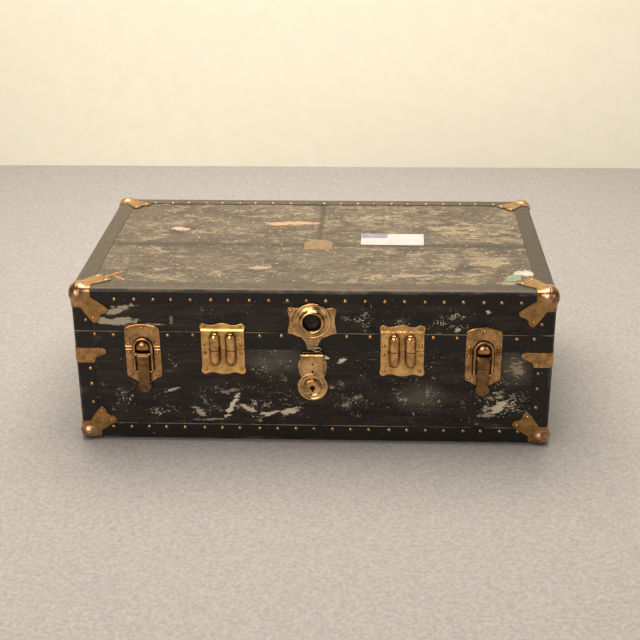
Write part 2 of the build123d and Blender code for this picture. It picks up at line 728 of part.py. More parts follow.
def receiver():
    """The stepped round boss on the lid plate, with the bore for the hasp's plug."""
    return turned([
        (receiver_bore, 0), (receiver_flange, 0), (receiver_flange, receiver_flange_rise),
        (receiver_collar, receiver_flange_rise), (receiver_collar, receiver_height),
        (receiver_bore, receiver_height),
    ])


def lock():
    pivot = parting - hasp_pivot_drop
    pin_half = hasp_knuckle_half + side_play
    pin = side_slice(Pos(hasp_plane, pivot) * Circle(hasp_pin), -pin_half, pin_half)
    receiver_at = Pos(0, pivot + hasp_arm, lid_face + fitting_sheet)
    write("lock_base_plate", front_frame * lock_base())
    write("hasp_pin", front_frame * pin)
    write("hasp", front_frame * hasp())
    write("lock_lid_plate", front_frame * lock_lid_plate())
    write("lock_receiver", front_frame * receiver_at * receiver())


# ---- end handles ----

def handle_plate():
    """A back plate with two bored lugs."""
    outline = Rectangle(2 * handle_plate_half, handle_plate_height)
    outline = chamfer(outline.vertices(), handle_plate_height / 4)
    piece = Pos(0, handle_height, 0) * extrude(outline, handle_plate_sheet)
    reach = handle_plane + handle_lug_radius
    lug = Pos(reach / 2, handle_height) * Rectangle(reach, 2 * handle_lug_radius)
    lug -= Pos(handle_plane, handle_height) * Circle(trunnion + pin_fit)
    for x_low in (handle_lug_out - handle_lug_width, -handle_lug_out):
        piece += outside(side_slice(lug, x_low, x_low + handle_lug_width), handle_plate_sheet / 2)
    return piece


def handle_bail():
    """A flat bar bent to a U, with trunnions that turn in the lugs."""
    inner = handle_lug_out + bail_play
    outer = inner + bail_bar
    foot = handle_height - bail_drop - bail_bar / 2
    head = handle_height + bail_bar
    bend = Rectangle(2 * outer, head - foot)
    bend = fillet(bend.vertices().group_by(Axis.Y)[0], bail_corner)
    hollow = Rectangle(2 * inner, head - foot)
    hollow = fillet(hollow.vertices().group_by(Axis.Y)[0], bail_corner - bail_bar)
    outline = Pos(0, (head + foot) / 2) * (bend - Pos(0, bail_bar) * hollow)
    bail = Pos(0, 0, handle_plane - bail_thick / 2) * extrude(outline, bail_thick)
    pivot = Pos(handle_plane, handle_height) * Circle(trunnion)
    for x_low in (handle_lug_out - handle_lug_width, -inner - bail_bar / 2):
        bail += side_slice(pivot, x_low, x_low + handle_lug_width + bail_play + bail_bar / 2)
    return bail


def handle_grip():
    """A round leather grip on the bail's foot."""
    bar = slab((-grip_half, grip_half), (-bail_bar / 2, bail_bar / 2), (-bail_thick / 2, bail_thick / 2))
    grip = Rot(0, 90, 0) * Cylinder(grip_radius, 2 * grip_half) - bar
    return Pos(0, handle_height - bail_drop, handle_plane) * grip


def handles():
    plate = right_frame * handle_plate()
    bail = right_frame * handle_bail()
    grip = right_frame * handle_grip()
    write("handle_plates", *left_and_right(plate))
    for side, piece_pair in zip(("right", "left"), zip(left_and_right(bail), left_and_right(grip))):
        write(f"{side}_handle_bail", piece_pair[0])
        write(f"{side}_handle_grip", piece_pair[1])


os.makedirs("parts", exist_ok=True)
panels()
covering()
linings()
bindings()
corner_caps()
corner_plates()
valances()
hinges()
stays()
draw_bolts()
dowels()
lock()
handles()
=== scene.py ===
# %% [markdown]
# # Dressing a cabin trunk
# The trunk is a plywood box and lid under vulcanised fibre, bound with nailed fibre strips and pressed
# brass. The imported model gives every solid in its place, so this lesson only dresses it: finishes for the
# large plain pieces, and worked surfaces for the brass, whose pressed and turned forms catch the light.

# %% Load the frame
import json
import bmesh
import bpy
import numpy as np
from mathutils import Matrix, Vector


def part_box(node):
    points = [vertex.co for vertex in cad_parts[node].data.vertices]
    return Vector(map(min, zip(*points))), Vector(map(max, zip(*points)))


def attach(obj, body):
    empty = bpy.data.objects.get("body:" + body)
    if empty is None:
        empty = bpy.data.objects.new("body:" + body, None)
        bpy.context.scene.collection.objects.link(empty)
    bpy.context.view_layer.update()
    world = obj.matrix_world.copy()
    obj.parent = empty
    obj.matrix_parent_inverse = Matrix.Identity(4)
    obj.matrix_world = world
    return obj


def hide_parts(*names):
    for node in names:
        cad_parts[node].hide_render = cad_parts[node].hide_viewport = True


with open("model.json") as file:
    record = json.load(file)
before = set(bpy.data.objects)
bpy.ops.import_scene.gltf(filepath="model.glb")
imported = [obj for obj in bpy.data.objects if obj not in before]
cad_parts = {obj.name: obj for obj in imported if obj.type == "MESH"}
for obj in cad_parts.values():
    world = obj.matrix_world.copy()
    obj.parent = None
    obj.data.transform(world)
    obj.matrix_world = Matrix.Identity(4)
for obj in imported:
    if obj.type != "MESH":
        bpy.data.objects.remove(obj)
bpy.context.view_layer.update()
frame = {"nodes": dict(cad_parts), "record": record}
MM = 0.001

# %% [markdown]
# ## Where things are
# Every place comes from the solids themselves. The front of the covering and the middle of the trunk from
# front to back place the fittings. The bindings' outer faces place the caps, the nails and the wear.

# %% Reference places
cover_low, cover_high = (np.array(corner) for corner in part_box("base_covering"))
lid_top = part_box("lid_covering")[1].z
bound_low, bound_high = (np.array(corner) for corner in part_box("lid_top_binding"))
front_y = cover_low[1]
middle_y = (cover_low[1] + cover_high[1]) / 2
floor_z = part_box("base_foot_binding")[0].z
foot_band_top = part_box("base_foot_binding")[1].z
print("front and middle:", np.round(np.array([front_y, middle_y]) / MM, 2).tolist())

# %% [markdown]
# ## The camera
# The view is a little above the trunk and a little to its right, with a long lens, so that upright edges
# stay almost parallel. The rolled angle is the small tilt of a hand-held camera.

# %% Camera
def new_object(name, data, axes=np.eye(3), place=(0, 0, 0)):
    """Puts data into the scene at a place, with its own x, y and z along three given directions."""
    made = bpy.data.objects.new(name, data)
    bpy.context.scene.collection.objects.link(made)
    turn = np.eye(4)
    turn[:3, :3], turn[:3, 3] = np.transpose(axes), place
    made.matrix_world = Matrix(turn.tolist())
    return made


camera_place = np.array([117.04, -2419.62, 1212.31]) * MM
pitch, yaw, roll = np.radians([23.758, -2.712, -0.4935])
forward = np.array([np.sin(yaw) * np.cos(pitch), np.cos(yaw) * np.cos(pitch), -np.sin(pitch)])
level_right = np.array([np.cos(yaw), -np.sin(yaw), 0.0])
level_up = np.cross(level_right, forward)
right = np.cos(roll) * level_right + np.sin(roll) * level_up
up = -np.sin(roll) * level_right + np.cos(roll) * level_up
camera = new_object("camera", bpy.data.cameras.new("camera"), (right, up, -forward), camera_place)
camera.data.lens, camera.data.sensor_width = 70.29, 36.0
bpy.context.scene.camera = camera
print("camera stands", round(float(np.linalg.norm(camera_place)), 2), "m from the trunk's foot")

# %% [markdown]
# ## One node, one call
# A finish is a small tree of shader nodes. One function adds any node: its settings are given by name, and
# each input is a value or the output of an earlier node. Colours are written as they look on a screen and
# turned to linear light once.

# %% Colours and nodes
def linear(hex_colour):
    """sRGB to linear light: each channel c becomes ((c + 0.055) / 1.055) ** 2.4, or c / 12.92 when it is
    small."""
    channels = np.array([int(hex_colour[i:i + 2], 16) for i in (1, 3, 5)]) / 255
    curve = np.where(channels > 0.04045, ((channels + 0.055) / 1.055) ** 2.4, channels / 12.92)
    return (*curve.tolist(), 1.0)


def add(tree, kind, inputs=(), out=0, stops=(), **settings):
    """Adds a node with its settings and colour stops, and fills or links its inputs, which are given in
    order or by place. Gives one of its outputs."""
    made = tree.nodes.new("ShaderNode" + kind)
    for name, value in settings.items():
        setattr(made, name, value)
    for place, value in inputs.items() if isinstance(inputs, dict) else enumerate(inputs):
        if isinstance(value, bpy.types.NodeSocket):
            tree.links.new(value, made.inputs[place])
        else:
            made.inputs[place].default_value = value
    for i, (place, colour) in enumerate(stops):
        stop = made.color_ramp.elements[i]
        stop.position, stop.color = place, linear(colour)
    return made.outputs[out]


def new_finish(name, steady=()):
    """A new material with steady values on its shader, its tree, and the object coordinates in metres."""
    finish = bpy.data.materials.new(name)
    finish.use_nodes = True
    tree = finish.node_tree
    for socket, value in dict(steady).items():
        tree.nodes["Principled BSDF"].inputs[socket].default_value = value
    return finish, tree, add(tree, "TexCoord", out="Object")


def joined(finish, colour, rough, height, strength=0.3, depth=0.2):
    """Links colour, roughness and a bump of a depth in millimetres to the finish's shader."""
    tree = finish.node_tree
    bump = add(tree, "Bump", {"Strength": strength, "Distance": depth * MM, "Height": height})
    for socket, value in (("Base Color", colour), ("Roughness", rough), ("Normal", bump)):
        tree.links.new(value, tree.nodes["Principled BSDF"].inputs[socket])
    return finish


def per_metre(millimetres):
    """A texture's scale, from the real size of one of its features."""
    return 1 / (millimetres * MM)


print("white stays", linear("#ffffff")[:3])

# %% [markdown]
# ## Wear
# All wear is drawn in the same three ways: cloudy noise, nearness to a spot, and a hue that shows through
# wherever one of them, or their sum, passes a level. Sizes and places are the object's own millimetres.

# %% Wear
def clouds(tree, place, size, seed, stretch=(1, 1, 1), detail=6.0, rough=0.6, gain=1.0, plus=None):
    """Cloudy noise whose blotches are size millimetres across, times a stretch along each axis. Its values
    are multiplied by gain, and then plus is added or, without it, they are centred on one half."""
    place = add(tree, "Mapping", {"Vector": place, "Location": (seed, seed * 0.7, seed * 1.3),
                                  "Scale": [1 / s for s in stretch]})
    noise = add(tree, "TexNoise", {"Vector": place, "Scale": per_metre(size), "Detail": detail,
                                   "Roughness": rough}, "Fac")
    if gain == 1.0 and plus is None:
        return noise
    shift = 0.5 - 0.5 * gain if plus is None else plus
    return add(tree, "Math", (noise, gain, shift), operation="MULTIPLY_ADD")


def nearness(tree, place, middle, reach, tilt=0.0, axis="Y_AXIS"):
    """1 in the middle of a tilted ellipsoid and 0 at its reach: 1 - |turned(place - middle) / reach|."""
    offset = add(tree, "VectorMath", (place, [c * MM for c in middle]), operation="SUBTRACT")
    offset = add(tree, "VectorRotate", {"Vector": offset, "Angle": np.radians(tilt)}, rotation_type=axis)
    scaled = add(tree, "VectorMath", (offset, [per_metre(r) for r in reach]), operation="MULTIPLY")
    distance = add(tree, "VectorMath", [scaled], "Value", operation="LENGTH")
    return add(tree, "Math", (1.0, distance), operation="SUBTRACT")


def let_through(tree, colour, hue, amount, low=0.0, high=1.0, most=1.0):
    """The colour with a hue let through, and the share of it, which climbs to most as amount goes from low
    to high."""
    share = add(tree, "MapRange", (amount, low, high, 0.0, most))
    return add(tree, "Mix", {0: share, 6: colour, 7: linear(hue)}, 2, data_type="RGBA"), share


def torn_patch(tree, colour, hue, near, noise, bite, softness=0.05, most=1.0):
    """A hue laid bare where noise + nearness > 1.5 - bite."""
    total = add(tree, "Math", (noise, near), operation="ADD")
    return let_through(tree, colour, hue, total, 1.5 - bite, 1.5 - bite + softness, most)


print("a 24 mm blotch is noise at a scale of", round(per_metre(24), 1), "to the metre")

# %% [markdown]
# ## Vulcanised fibre, varnished black
# The covering is paper pulp hardened into a tough brown board and varnished almost black, with a faint
# leathery grain. Knocks flake the varnish off down to tan board, so most of the look is damage: fine
# flecks, long rubbed streaks and a few big torn patches, each an ellipse inside which ragged noise decides
# what flakes.

# %% Where the walls are worn
# millimetres: where the front wall stands, and how far in and out of it a worn place reaches
wall_front, wall_reach = -266, 40
# across and up, half sizes and tilt in degrees, how much of it is torn away, and the colour laid bare
FRONT_TEARS = [
    ((-368, 279), (40, 11), 14, 0.62, "#9d9484"),
    ((-372, 256), (60, 12), 0, 0.60, "#a0988a"),
    ((-312, 249), (40, 6), 4, 0.50, "#8f8778"),
    ((-268, 258), (8, 26), 0, 0.34, "#6f6a60"),
    ((-158, 78), (50, 8), 64, 0.58, "#c9c0ad"),
    ((-128, 74), (34, 8), -32, 0.55, "#b5ac9a"),
    ((-88, 62), (34, 8), 12, 0.56, "#bfb6a4"),
    ((-46, 68), (36, 9), 16, 0.56, "#bab19f"),
    ((-160, 112), (26, 9), 18, 0.48, "#857c6c"),
    ((-223, 68), (26, 12), -30, 0.50, "#9a9182"),
    ((-274, 112), (22, 6), 16, 0.52, "#aba495"),
    ((-200, 48), (60, 5), 4, 0.44, "#827a6a"),
    ((26, 186), (9, 6), -40, 0.60, "#d6d2c6"),
    ((58, 180), (20, 7), 28, 0.44, "#c9c4b6"),
    ((388, 166), (40, 44), 0, 0.30, "#857b6a"),
    ((360, 84), (60, 16), 44, 0.44, "#b9b09e"),
    ((336, 66), (34, 9), 0, 0.42, "#8d8474"),
    ((330, 282), (9, 7), 30, 0.52, "#b9b3a4"),
    ((274, 246), (10, 8), 0, 0.52, "#b5ae9f"),
    ((300, 214), (30, 8), 0, 0.34, "#8f8677"),
]
# places where only small flecks are knocked off: across and up, half sizes, tilt and strength
FRONT_FLECKS = [
    ((96, 266), (60, 44), 20, 0.16), ((166, 258), (46, 34), 0, 0.15), ((262, 264), (70, 50), 0, 0.17),
    ((64, 110), (70, 100), 0, 0.17), ((205, 106), (90, 70), 0, 0.18), ((-70, 170), (90, 60), 0, 0.17),
    ((350, 90), (100, 80), 0, 0.19), ((-282, 58), (60, 44), 0, 0.19), ((-130, 80), (160, 80), 0, 0.18),
    ((-270, 170), (20, 60), 0, 0.13),
]
# places that stay dusty: across and up, and half sizes
FRONT_DUST = [((-70, 180), (100, 46)), ((204, 104), (76, 50)), ((388, 168), (50, 60))]
print("worn places on the front:", len(FRONT_TEARS), "torn,", len(FRONT_FLECKS), "flecked,",
      len(FRONT_DUST), "dusty")

# %% The walls
def fibre_walls(tree, place):
    """Colour, roughness and bump height of the varnished walls."""
    def near_front(middle, reach, tilt=0.0):
        """Nearness to a spot on the front wall, given across and up."""
        middle, reach = (middle[0], wall_front, middle[1]), (reach[0], wall_reach, reach[1])
        return nearness(tree, place, middle, reach, tilt)

    drift = clouds(tree, place, 90, 1.0)
    colour = add(tree, "ValToRGB", [drift], stops=[(0.3, "#0d0a08"), (0.7, "#191410")])
    haze = clouds(tree, place, 34, 2.0, (2.4, 1, 0.8), 8.0, 0.7)
    smear = clouds(tree, place, 11, 9.0, (7, 1, 0.6), 8.0, 0.7)
    dust = near_front(*FRONT_DUST[0])
    for spot in FRONT_DUST[1:]:
        dust = add(tree, "Math", (dust, near_front(*spot)), operation="MAXIMUM")
    dusty = add(tree, "Math", (haze, dust), operation="MULTIPLY")
    for hue, amount, low, high in (("#3f382f", haze, 0.46, 0.76), ("#433b31", smear, 0.48, 0.76),
                                   ("#6b665c", dusty, 0.1, 0.5)):
        colour, _ = let_through(tree, colour, hue, amount, low, high, 0.55)
    crowd = add(tree, "MapRange", (clouds(tree, place, 170, 10.0, detail=2.0), 0.48, 0.7, 0.0, 0.13))
    for *spot, strength in FRONT_FLECKS:
        here = add(tree, "MapRange", (near_front(*spot), 0.0, 0.7, 0.0, strength))
        crowd = add(tree, "Math", (crowd, here), operation="MAXIMUM")
    clump = clouds(tree, place, 24, 8.0, (1.3, 1, 1), 5.0, gain=2.6)
    clump = add(tree, "MapRange", (clump, 0.2, 0.85))
    crowd = add(tree, "Math", (crowd, clump), operation="MULTIPLY")
    flake = clouds(tree, place, 8, 3.0, (1.7, 1, 1), 10.0, 0.76, plus=crowd)
    colour, worn = let_through(tree, colour, "#857c6c", flake, 0.675, 0.705, 0.9)
    scrape = clouds(tree, place, 4, 4.0, (9, 1, 0.55), 5.0)
    colour, scrape = let_through(tree, colour, "#958c7b", scrape, 0.69, 0.74, 0.8)
    fleck = clouds(tree, place, 3.2, 5.0, detail=2.0, rough=0.5, plus=crowd)
    colour, _ = let_through(tree, colour, "#c4bfb2", fleck, 0.76, 0.78)
    torn = clouds(tree, place, 9, 6.0, (2.2, 1, 0.7), 12.0, 0.7, 3.2)
    bare = add(tree, "Math", (worn, scrape), operation="MAXIMUM")
    for *spot, bite, hue in FRONT_TEARS:
        colour, share = torn_patch(tree, colour, hue, near_front(*spot), torn, bite)
        bare = add(tree, "Math", (bare, share), operation="MAXIMUM")
    height = add(tree, "Math", (clouds(tree, place, 1.6, 7.0, detail=3.0), bare), operation="SUBTRACT")
    return colour, add(tree, "MapRange", (bare, 0.0, 1.0, 0.46, 0.85)), height


print("the walls' wear is ready to lay on")

# %% [markdown]
# ## The lid's top
# The top has lost its varnish. It is olive grey board, blotched by use, and rubbed down to tan most of all
# to the right. Two darker strips show where bands of tape once kept it clean. Scrapes of pink and orange
# paint from other luggage are laid on with the same ragged patches.

# %% Where the lid's top is worn
# millimetres: the top's level, and how far up and down a torn patch and a strip reach
top_level, tear_reach, strip_reach = 322, 60, 400
# across and back, half sizes and tilt in degrees, how much of it is torn away, and the colour laid bare
TOP_TEARS = [
    ((-60, 112), (92, 15), -4, 0.70, "#b08a6c"),
    ((-296, 74), (36, 15), 8, 0.58, "#b79a88"),
    ((-390, -192), (46, 5), -46, 0.62, "#ad6f3d"),
    ((-376, -206), (30, 4), 40, 0.60, "#ad6f3d"),
    ((280, 80), (250, 170), 0, 0.12, "#877b67"),
    ((340, -110), (180, 130), 0, 0.14, "#877b67"),
    ((170, -190), (260, 70), 0, 0.12, "#877b67"),
    ((-330, -60), (120, 110), 0, 0.10, "#877b67"),
    ((-230, 60), (200, 60), 0, 0.08, "#877b67"),
    ((-100, -150), (60, 40), 0, 0.30, "#918571"),
    ((120, 150), (120, 60), 0, 0.16, "#8b7f6b"),
]
# where bands of tape lay: across and back, and half sizes
TOP_STRIPS = [((0, -20), (1200, 16)), ((3, 130), (8, 190))]
print("worn places on the top:", len(TOP_TEARS), "torn,", len(TOP_STRIPS), "kept clean by tape")

# %% The lid's top
def fibre_top(tree, place):
    """Colour, roughness and bump height of the rubbed lid top."""
    mottle = clouds(tree, place, 70, 11.0, (1.6, 1, 1), 7.0)
    colour = add(tree, "ValToRGB", [mottle], stops=[(0.32, "#3f3931"), (0.7, "#635b4c")])
    lean = add(tree, "MapRange", (add(tree, "SeparateXYZ", [place]), -0.45, 0.45, -0.115, -0.08))
    lean = clouds(tree, place, 110, 18.0, (1.5, 1, 1), 3.0, gain=0.22, plus=lean)
    blotch = clouds(tree, place, 17, 12.0, (1.9, 1.1, 1), 11.0, 0.74, plus=lean)
    colour, rubbed = let_through(tree, colour, "#877c69", blotch, 0.55, 0.585, 0.8)
    pits = clouds(tree, place, 4, 17.0, (1.8, 1, 1), 8.0, 0.78)
    colour, _ = let_through(tree, colour, "#3a342b", pits, 0.51, 0.61, 0.65)
    colour, _ = let_through(tree, colour, "#9a8e79", pits, 0.44, 0.34, 0.6)
    streak = clouds(tree, place, 5, 13.0, (6, 0.8, 1), rough=0.66, plus=lean)
    colour, fine = let_through(tree, colour, "#a69a85", streak, 0.6, 0.66, 0.8)
    soot = clouds(tree, place, 13, 14.0, (2.2, 1, 1), 10.0, 0.74)
    colour, _ = let_through(tree, colour, "#2b261e", soot, 0.575, 0.66, 0.85)
    torn = clouds(tree, place, 15, 15.0, (2.0, 1.0, 1), 12.0, 0.72, 2.4)
    for middle, reach, tilt, bite, hue in TOP_TEARS:
        near = nearness(tree, place, (*middle, top_level), (*reach, tear_reach), tilt, "Z_AXIS")
        colour, _ = torn_patch(tree, colour, hue, near, torn, bite)
    for middle, reach in TOP_STRIPS:
        near = nearness(tree, place, (*middle, top_level), (*reach, strip_reach))
        colour, _ = torn_patch(tree, colour, "#37322a", near, torn, 0.85, 0.3, 0.72)
    fleck = clouds(tree, place, 4.2, 16.0, (1.8, 1, 1), 2.0, 0.5)
    colour, _ = let_through(tree, colour, "#cdc8b8", fleck, 0.69, 0.72)
    height = add(tree, "Math", (rubbed, fine), operation="MAXIMUM")
    return colour, add(tree, "MapRange", (rubbed, 0.0, 1.0, 0.6, 0.85)), height


def varnished_fibre(name, top_from=None):
    """Walls everywhere, and above the height top_from the rubbed top."""
    finish, tree, place = new_finish(name, {"Specular IOR Level": 0.26})
    colour, rough, height = fibre_walls(tree, place)
    if top_from is not None:
        level = add(tree, "SeparateXYZ", [place], 2)
        is_top = add(tree, "MapRange", (level, top_from - 0.4 * MM, top_from))
        top_colour, top_rough, top_height = fibre_top(tree, place)
        colour = add(tree, "Mix", {0: is_top, 6: colour, 7: top_colour}, 2, data_type="RGBA")
        rough = add(tree, "Mix", {0: is_top, 2: rough, 3: top_rough})
        height = add(tree, "Mix", {0: is_top, 2: height, 3: top_height})
    return joined(finish, colour, rough, height, 0.5, 0.35)


wall_fibre = varnished_fibre("fibre_walls")
lid_fibre = varnished_fibre("fibre_lid", top_from=lid_top - 0.2 * MM)
print("fibre:", wall_fibre.name, "and", lid_fibre.name)

# %% [markdown]
# ## Binding strip
# The bindings are the same fibre, folded and nailed over the edges. They are blacker than the walls, with a
# dull shine. Their rounded edges are rubbed to a dusty grey-brown, which is what draws the trunk's outline,
# so the rub follows the distance from the box's flat faces.

# %% Binding finish
def box_depth(tree, place):
    """How far a point lies inside the box's faces, along each axis: half size - |place - centre|."""
    centre = [0, middle_y, (floor_z + bound_high[2]) / 2]
    half = [bound_high[0], bound_high[1] - middle_y, (bound_high[2] - floor_z) / 2]
    offset = add(tree, "VectorMath", (place, centre), operation="SUBTRACT")
    offset = add(tree, "VectorMath", [offset], operation="ABSOLUTE")
    return add(tree, "VectorMath", (half, offset), operation="SUBTRACT")


def binding_strip():
    """Near-black fibre, lighter on top with dust and a painted sheen, greyed by a band of wear where two
    outer faces of the box meet.
    """
    finish, tree, place = new_finish("binding_strip", {"Specular IOR Level": 0.32})
    mottle = clouds(tree, place, 60, 21.0, (2, 2, 1))
    colour = add(tree, "ValToRGB", [mottle], stops=[(0.3, "#0c0a08"), (0.72, "#181310")])
    across, level = (add(tree, "SeparateXYZ", [place], axis) for axis in (0, 2))
    # Dust and painted sheen: the top 5 mm of the bindings turn grey-brown, for dust and for the sheen of
    # grazing light.
    dust = add(tree, "MapRange", (level, bound_high[2] - 5 * MM, bound_high[2] - 0.5 * MM, 0.0, 0.8))
    dust_and_sheen_noise = clouds(tree, place, 9, 25.0, (2, 1.4, 1), 9.0, 0.75, 2.2)
    for spread in ((dust_and_sheen_noise, 0.25, 0.75, 0.4, 1.0), (across, 0.2, 0.45, 1.0, 0.6)):
        dust = add(tree, "Math", (dust, add(tree, "MapRange", spread)), operation="MULTIPLY")
    colour, _ = let_through(tree, colour, "#524735", dust)
    x, y, z = (add(tree, "SeparateXYZ", [box_depth(tree, place)], axis) for axis in range(3))
    nearest, *others = (add(tree, "Math", pair, operation="ADD") for pair in ((x, y), (y, z), (x, z)))
    for other in others:
        nearest = add(tree, "Math", (nearest, other), operation="MINIMUM")
    edge = add(tree, "MapRange", (nearest, 10 * MM, 3 * MM, 0.0, 0.2))
    rub = clouds(tree, place, 26, 22.0, (3, 2, 1), 9.0, 0.7, plus=edge)
    colour, rubbed = let_through(tree, colour, "#6a6052", rub, 0.62, 0.8, 0.7)
    # Wear and painted highlight: a pale tan line along the upper edge of the rim band and the foot band,
    # where the strips are worn and their upward-facing edges catch the light.
    for band_edge in (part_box("lid_rim_band")[1].z, foot_band_top):
        off = add(tree, "Math", (level, band_edge), operation="SUBTRACT")
        off = add(tree, "Math", [off], operation="ABSOLUTE")
        cut = add(tree, "MapRange", (off, 1.5 * MM, 0.5 * MM, 0.0, 0.4))
        cut = add(tree, "Math", (cut, rub), operation="ADD")
        colour, _ = let_through(tree, colour, "#8d8371", cut, 0.78, 0.92, 0.9)
    fleck = clouds(tree, place, 3.5, 23.0, (1.6, 1, 1), 3.0)
    colour, _ = let_through(tree, colour, "#8f8675", fleck, 0.70, 0.73, 0.8)
    rough = add(tree, "MapRange", (rubbed, 0.0, 1.0, 0.36, 0.7))
    return joined(finish, colour, rough, clouds(tree, place, 1.4, 24.0, detail=3.0), 0.35, 0.3)


binding = binding_strip()
print("binding edges lie at", round(float(bound_high[0]) / MM, 1), "mm from the middle")

# %% [markdown]
# ## Brass, pressed and tarnished
# The fittings are thin brass sheet, pressed and plated, now a soft gold with brown tarnish that gathers in
# blotches. Hollows and the foot of every raised form are darkened by dirt and by painted shade. The draw
# bolts have gone browner than the dowel plates. The corner caps take the knocks, so they are redder. Steel
# pieces get the same tree in grey, with specks of rust.

# %% Metal finishes
def worn_metal(name, bright, dull, stain, size, stain_from=0.56, rough=(0.28, 0.5), metal=1.0,
               grime_and_shade_hue="#17110b"):
    """Metal whose colour drifts between bright and dull in blotches of a size, with stains over them, and
    dirt and painted shade where the surface is shut in by its neighbours."""
    finish, tree, place = new_finish(name, {"Metallic": metal})
    colour = add(tree, "ValToRGB", [clouds(tree, place, size, 31.0)], stops=[(0.32, dull), (0.62, bright)])
    speck = clouds(tree, place, size / 5, 32.0, detail=9.0, rough=0.72)
    colour, stained = let_through(tree, colour, stain, speck, stain_from, stain_from + 0.16, 0.8)
    # Dirt and painted shade: ambient occlusion out to 13 mm darkens the colour in hollows and beside raised
    # forms.
    openness = add(tree, "AmbientOcclusion", {"Distance": 13 * MM}, "AO", samples=8)
    shade_and_dirt_share = add(tree, "Math", (openness, speck), operation="SUBTRACT")
    colour, shade_and_dirt_share = let_through(tree, colour, grime_and_shade_hue, shade_and_dirt_share, 0.42, -0.06, 0.9)
    dulled = add(tree, "Math", (stained, shade_and_dirt_share), operation="MAXIMUM")
    gloss = add(tree, "MapRange", (dulled, 0.0, 1.0, *rough))
    dent = clouds(tree, place, 2.2, 33.0, detail=4.0)
    relief = clouds(tree, place, 17, 34.0, detail=2.0, gain=9.0, plus=dent)
    return joined(finish, colour, gloss, relief)


gold_brass = worn_metal("sheet_brass_gold", "#eec17b", "#a87f4c", "#5a4026", 24, rough=(0.22, 0.42))
hood_brass = worn_metal("sheet_brass_rubbed", "#e8b57c", "#96704a", "#553d28", 14, 0.54, (0.16, 0.36))
lock_brass = worn_metal("sheet_brass_lock", "#e8bf85", "#a07d54", "#4c3a27", 20, rough=(0.15, 0.4))
aged_brass = worn_metal("sheet_brass_aged", "#cc9e6a", "#866340", "#422e1e", 18, 0.53, (0.18, 0.45))
dark_brass = worn_metal("sheet_brass_brown", "#8f6c47", "#62472e", "#36261c", 18, 0.50)
cap_brass = worn_metal("corner_brass_coppery", "#ca9e7a", "#7f5b45", "#3d2b20", 16, 0.52, (0.27, 0.48))
nail_brass = worn_metal("nail_brass", "#cfa26c", "#96703f", "#5a422a", 9, rough=(0.2, 0.4), grime_and_shade_hue="#4d3a26")
tinned_steel = worn_metal("tinned_steel", "#a9a49a", "#7f7a71", "#4c3a2c", 30, 0.60)
pin_steel = worn_metal("drawn_steel", "#b9b2a5", "#8d8474", "#5a4331", 12, 0.58)
# Near-black metal, for the painted shade in the keyhole and slots and for the disc on the bore's floor.
near_black_metal = worn_metal("near_black_metal", "#2a2622", "#191613", "#0e0c0a", 10, metal=0.6, rough=(0.5, 0.7))

print("metals:", [m.name for m in bpy.data.materials if "brass" in m.name or "steel" in m.name])

# %% Gilded leaves
def gild_leaves(finish):
    """The caps' leaves keep their gold, while the balls are rubbed down to copper: past 34 mm inwards from
    the nearest corner the colour turns to gold, with the drift of noise."""
    tree = finish.node_tree
    base_colour = tree.nodes["Principled BSDF"].inputs["Base Color"]
    under = base_colour.links[0].from_socket
    place = add(tree, "TexCoord", out="Object")
    away = add(tree, "VectorMath", [box_depth(tree, place)], "Value", operation="LENGTH")
    away = clouds(tree, place, 12, 35.0, gain=30 * MM, plus=away)
    gold = add(tree, "MapRange", (away, 46 * MM, 56 * MM, 0.0, 0.85))
    spot = clouds(tree, place, 15, 36.0, detail=5.0)
    leaf = add(tree, "ValToRGB", [spot], stops=[(0.34, "#80623a"), (0.64, "#b48c50")])
    tree.links.new(add(tree, "Mix", {0: gold, 6: under, 7: leaf}, 2, data_type="RGBA"), base_colour)


gild_leaves(cap_brass)
print("the caps' leaves are gilded on", cap_brass.name)

# %% [markdown]
# ## How a surface is drawn
# Every worked piece is one or more closed grids of points: a profile spun round an axis, a ring carried
# along a path, or a closed outline filled in towards its middle. Fittings are drawn flat, as across, up and
# out from the covering, and then stood on the trunk's front.

# %% Meshes from grids
def bump_line(value, centre, width):
    """A rib's section: exp(-((value - centre) / width)^2)."""
    return np.exp(-((value - centre) / width) ** 2)


def step(value, low, high):
    """0 below low, 1 above high, and 3t^2 - 2t^3 between."""
    t = np.clip((value - low) / (high - low), 0, 1)
    return t * t * (3 - 2 * t)


def unit(vectors):
    """Each vector divided by its length."""
    return vectors / np.linalg.norm(vectors, axis=-1, keepdims=True)


def put_in(name, shells, finish, body, stands_for=(), crease=38):
    """Joins closed grids into one mesh. A face joins (r, c), (r, c + 1), (r + 1, c + 1) and (r + 1, c),
    where columns go round. Rows that shrink to a point become poles."""
    faces, start = [], 0
    for shell in shells:
        rows, columns = shell.shape[:2]
        here = np.arange(rows * columns).reshape(rows, columns) + start
        beside = np.roll(here, -1, axis=1)
        faces.append(np.stack([here[:-1], beside[:-1], beside[1:], here[1:]], axis=-1).reshape(-1, 4))
        start += rows * columns
    mesh = bpy.data.meshes.new(name)
    corners = np.concatenate([shell.reshape(-1, 3) for shell in shells]) * MM
    mesh.from_pydata(corners.tolist(), [], np.concatenate(faces).tolist())
    work = bmesh.new()
    work.from_mesh(mesh)
    bmesh.ops.remove_doubles(work, verts=work.verts, dist=1e-6)
    bmesh.ops.recalc_face_normals(work, faces=work.faces)
    work.to_mesh(mesh)
    work.free()
    mesh.shade_smooth()
    mesh.set_sharp_from_angle(angle=np.radians(crease))
    mesh.materials.append(finish)
    piece = new_object(name, mesh)
    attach(piece, body)
    if stands_for:
        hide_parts(*stands_for)
    print(f"{name}: {len(mesh.polygons)} faces")


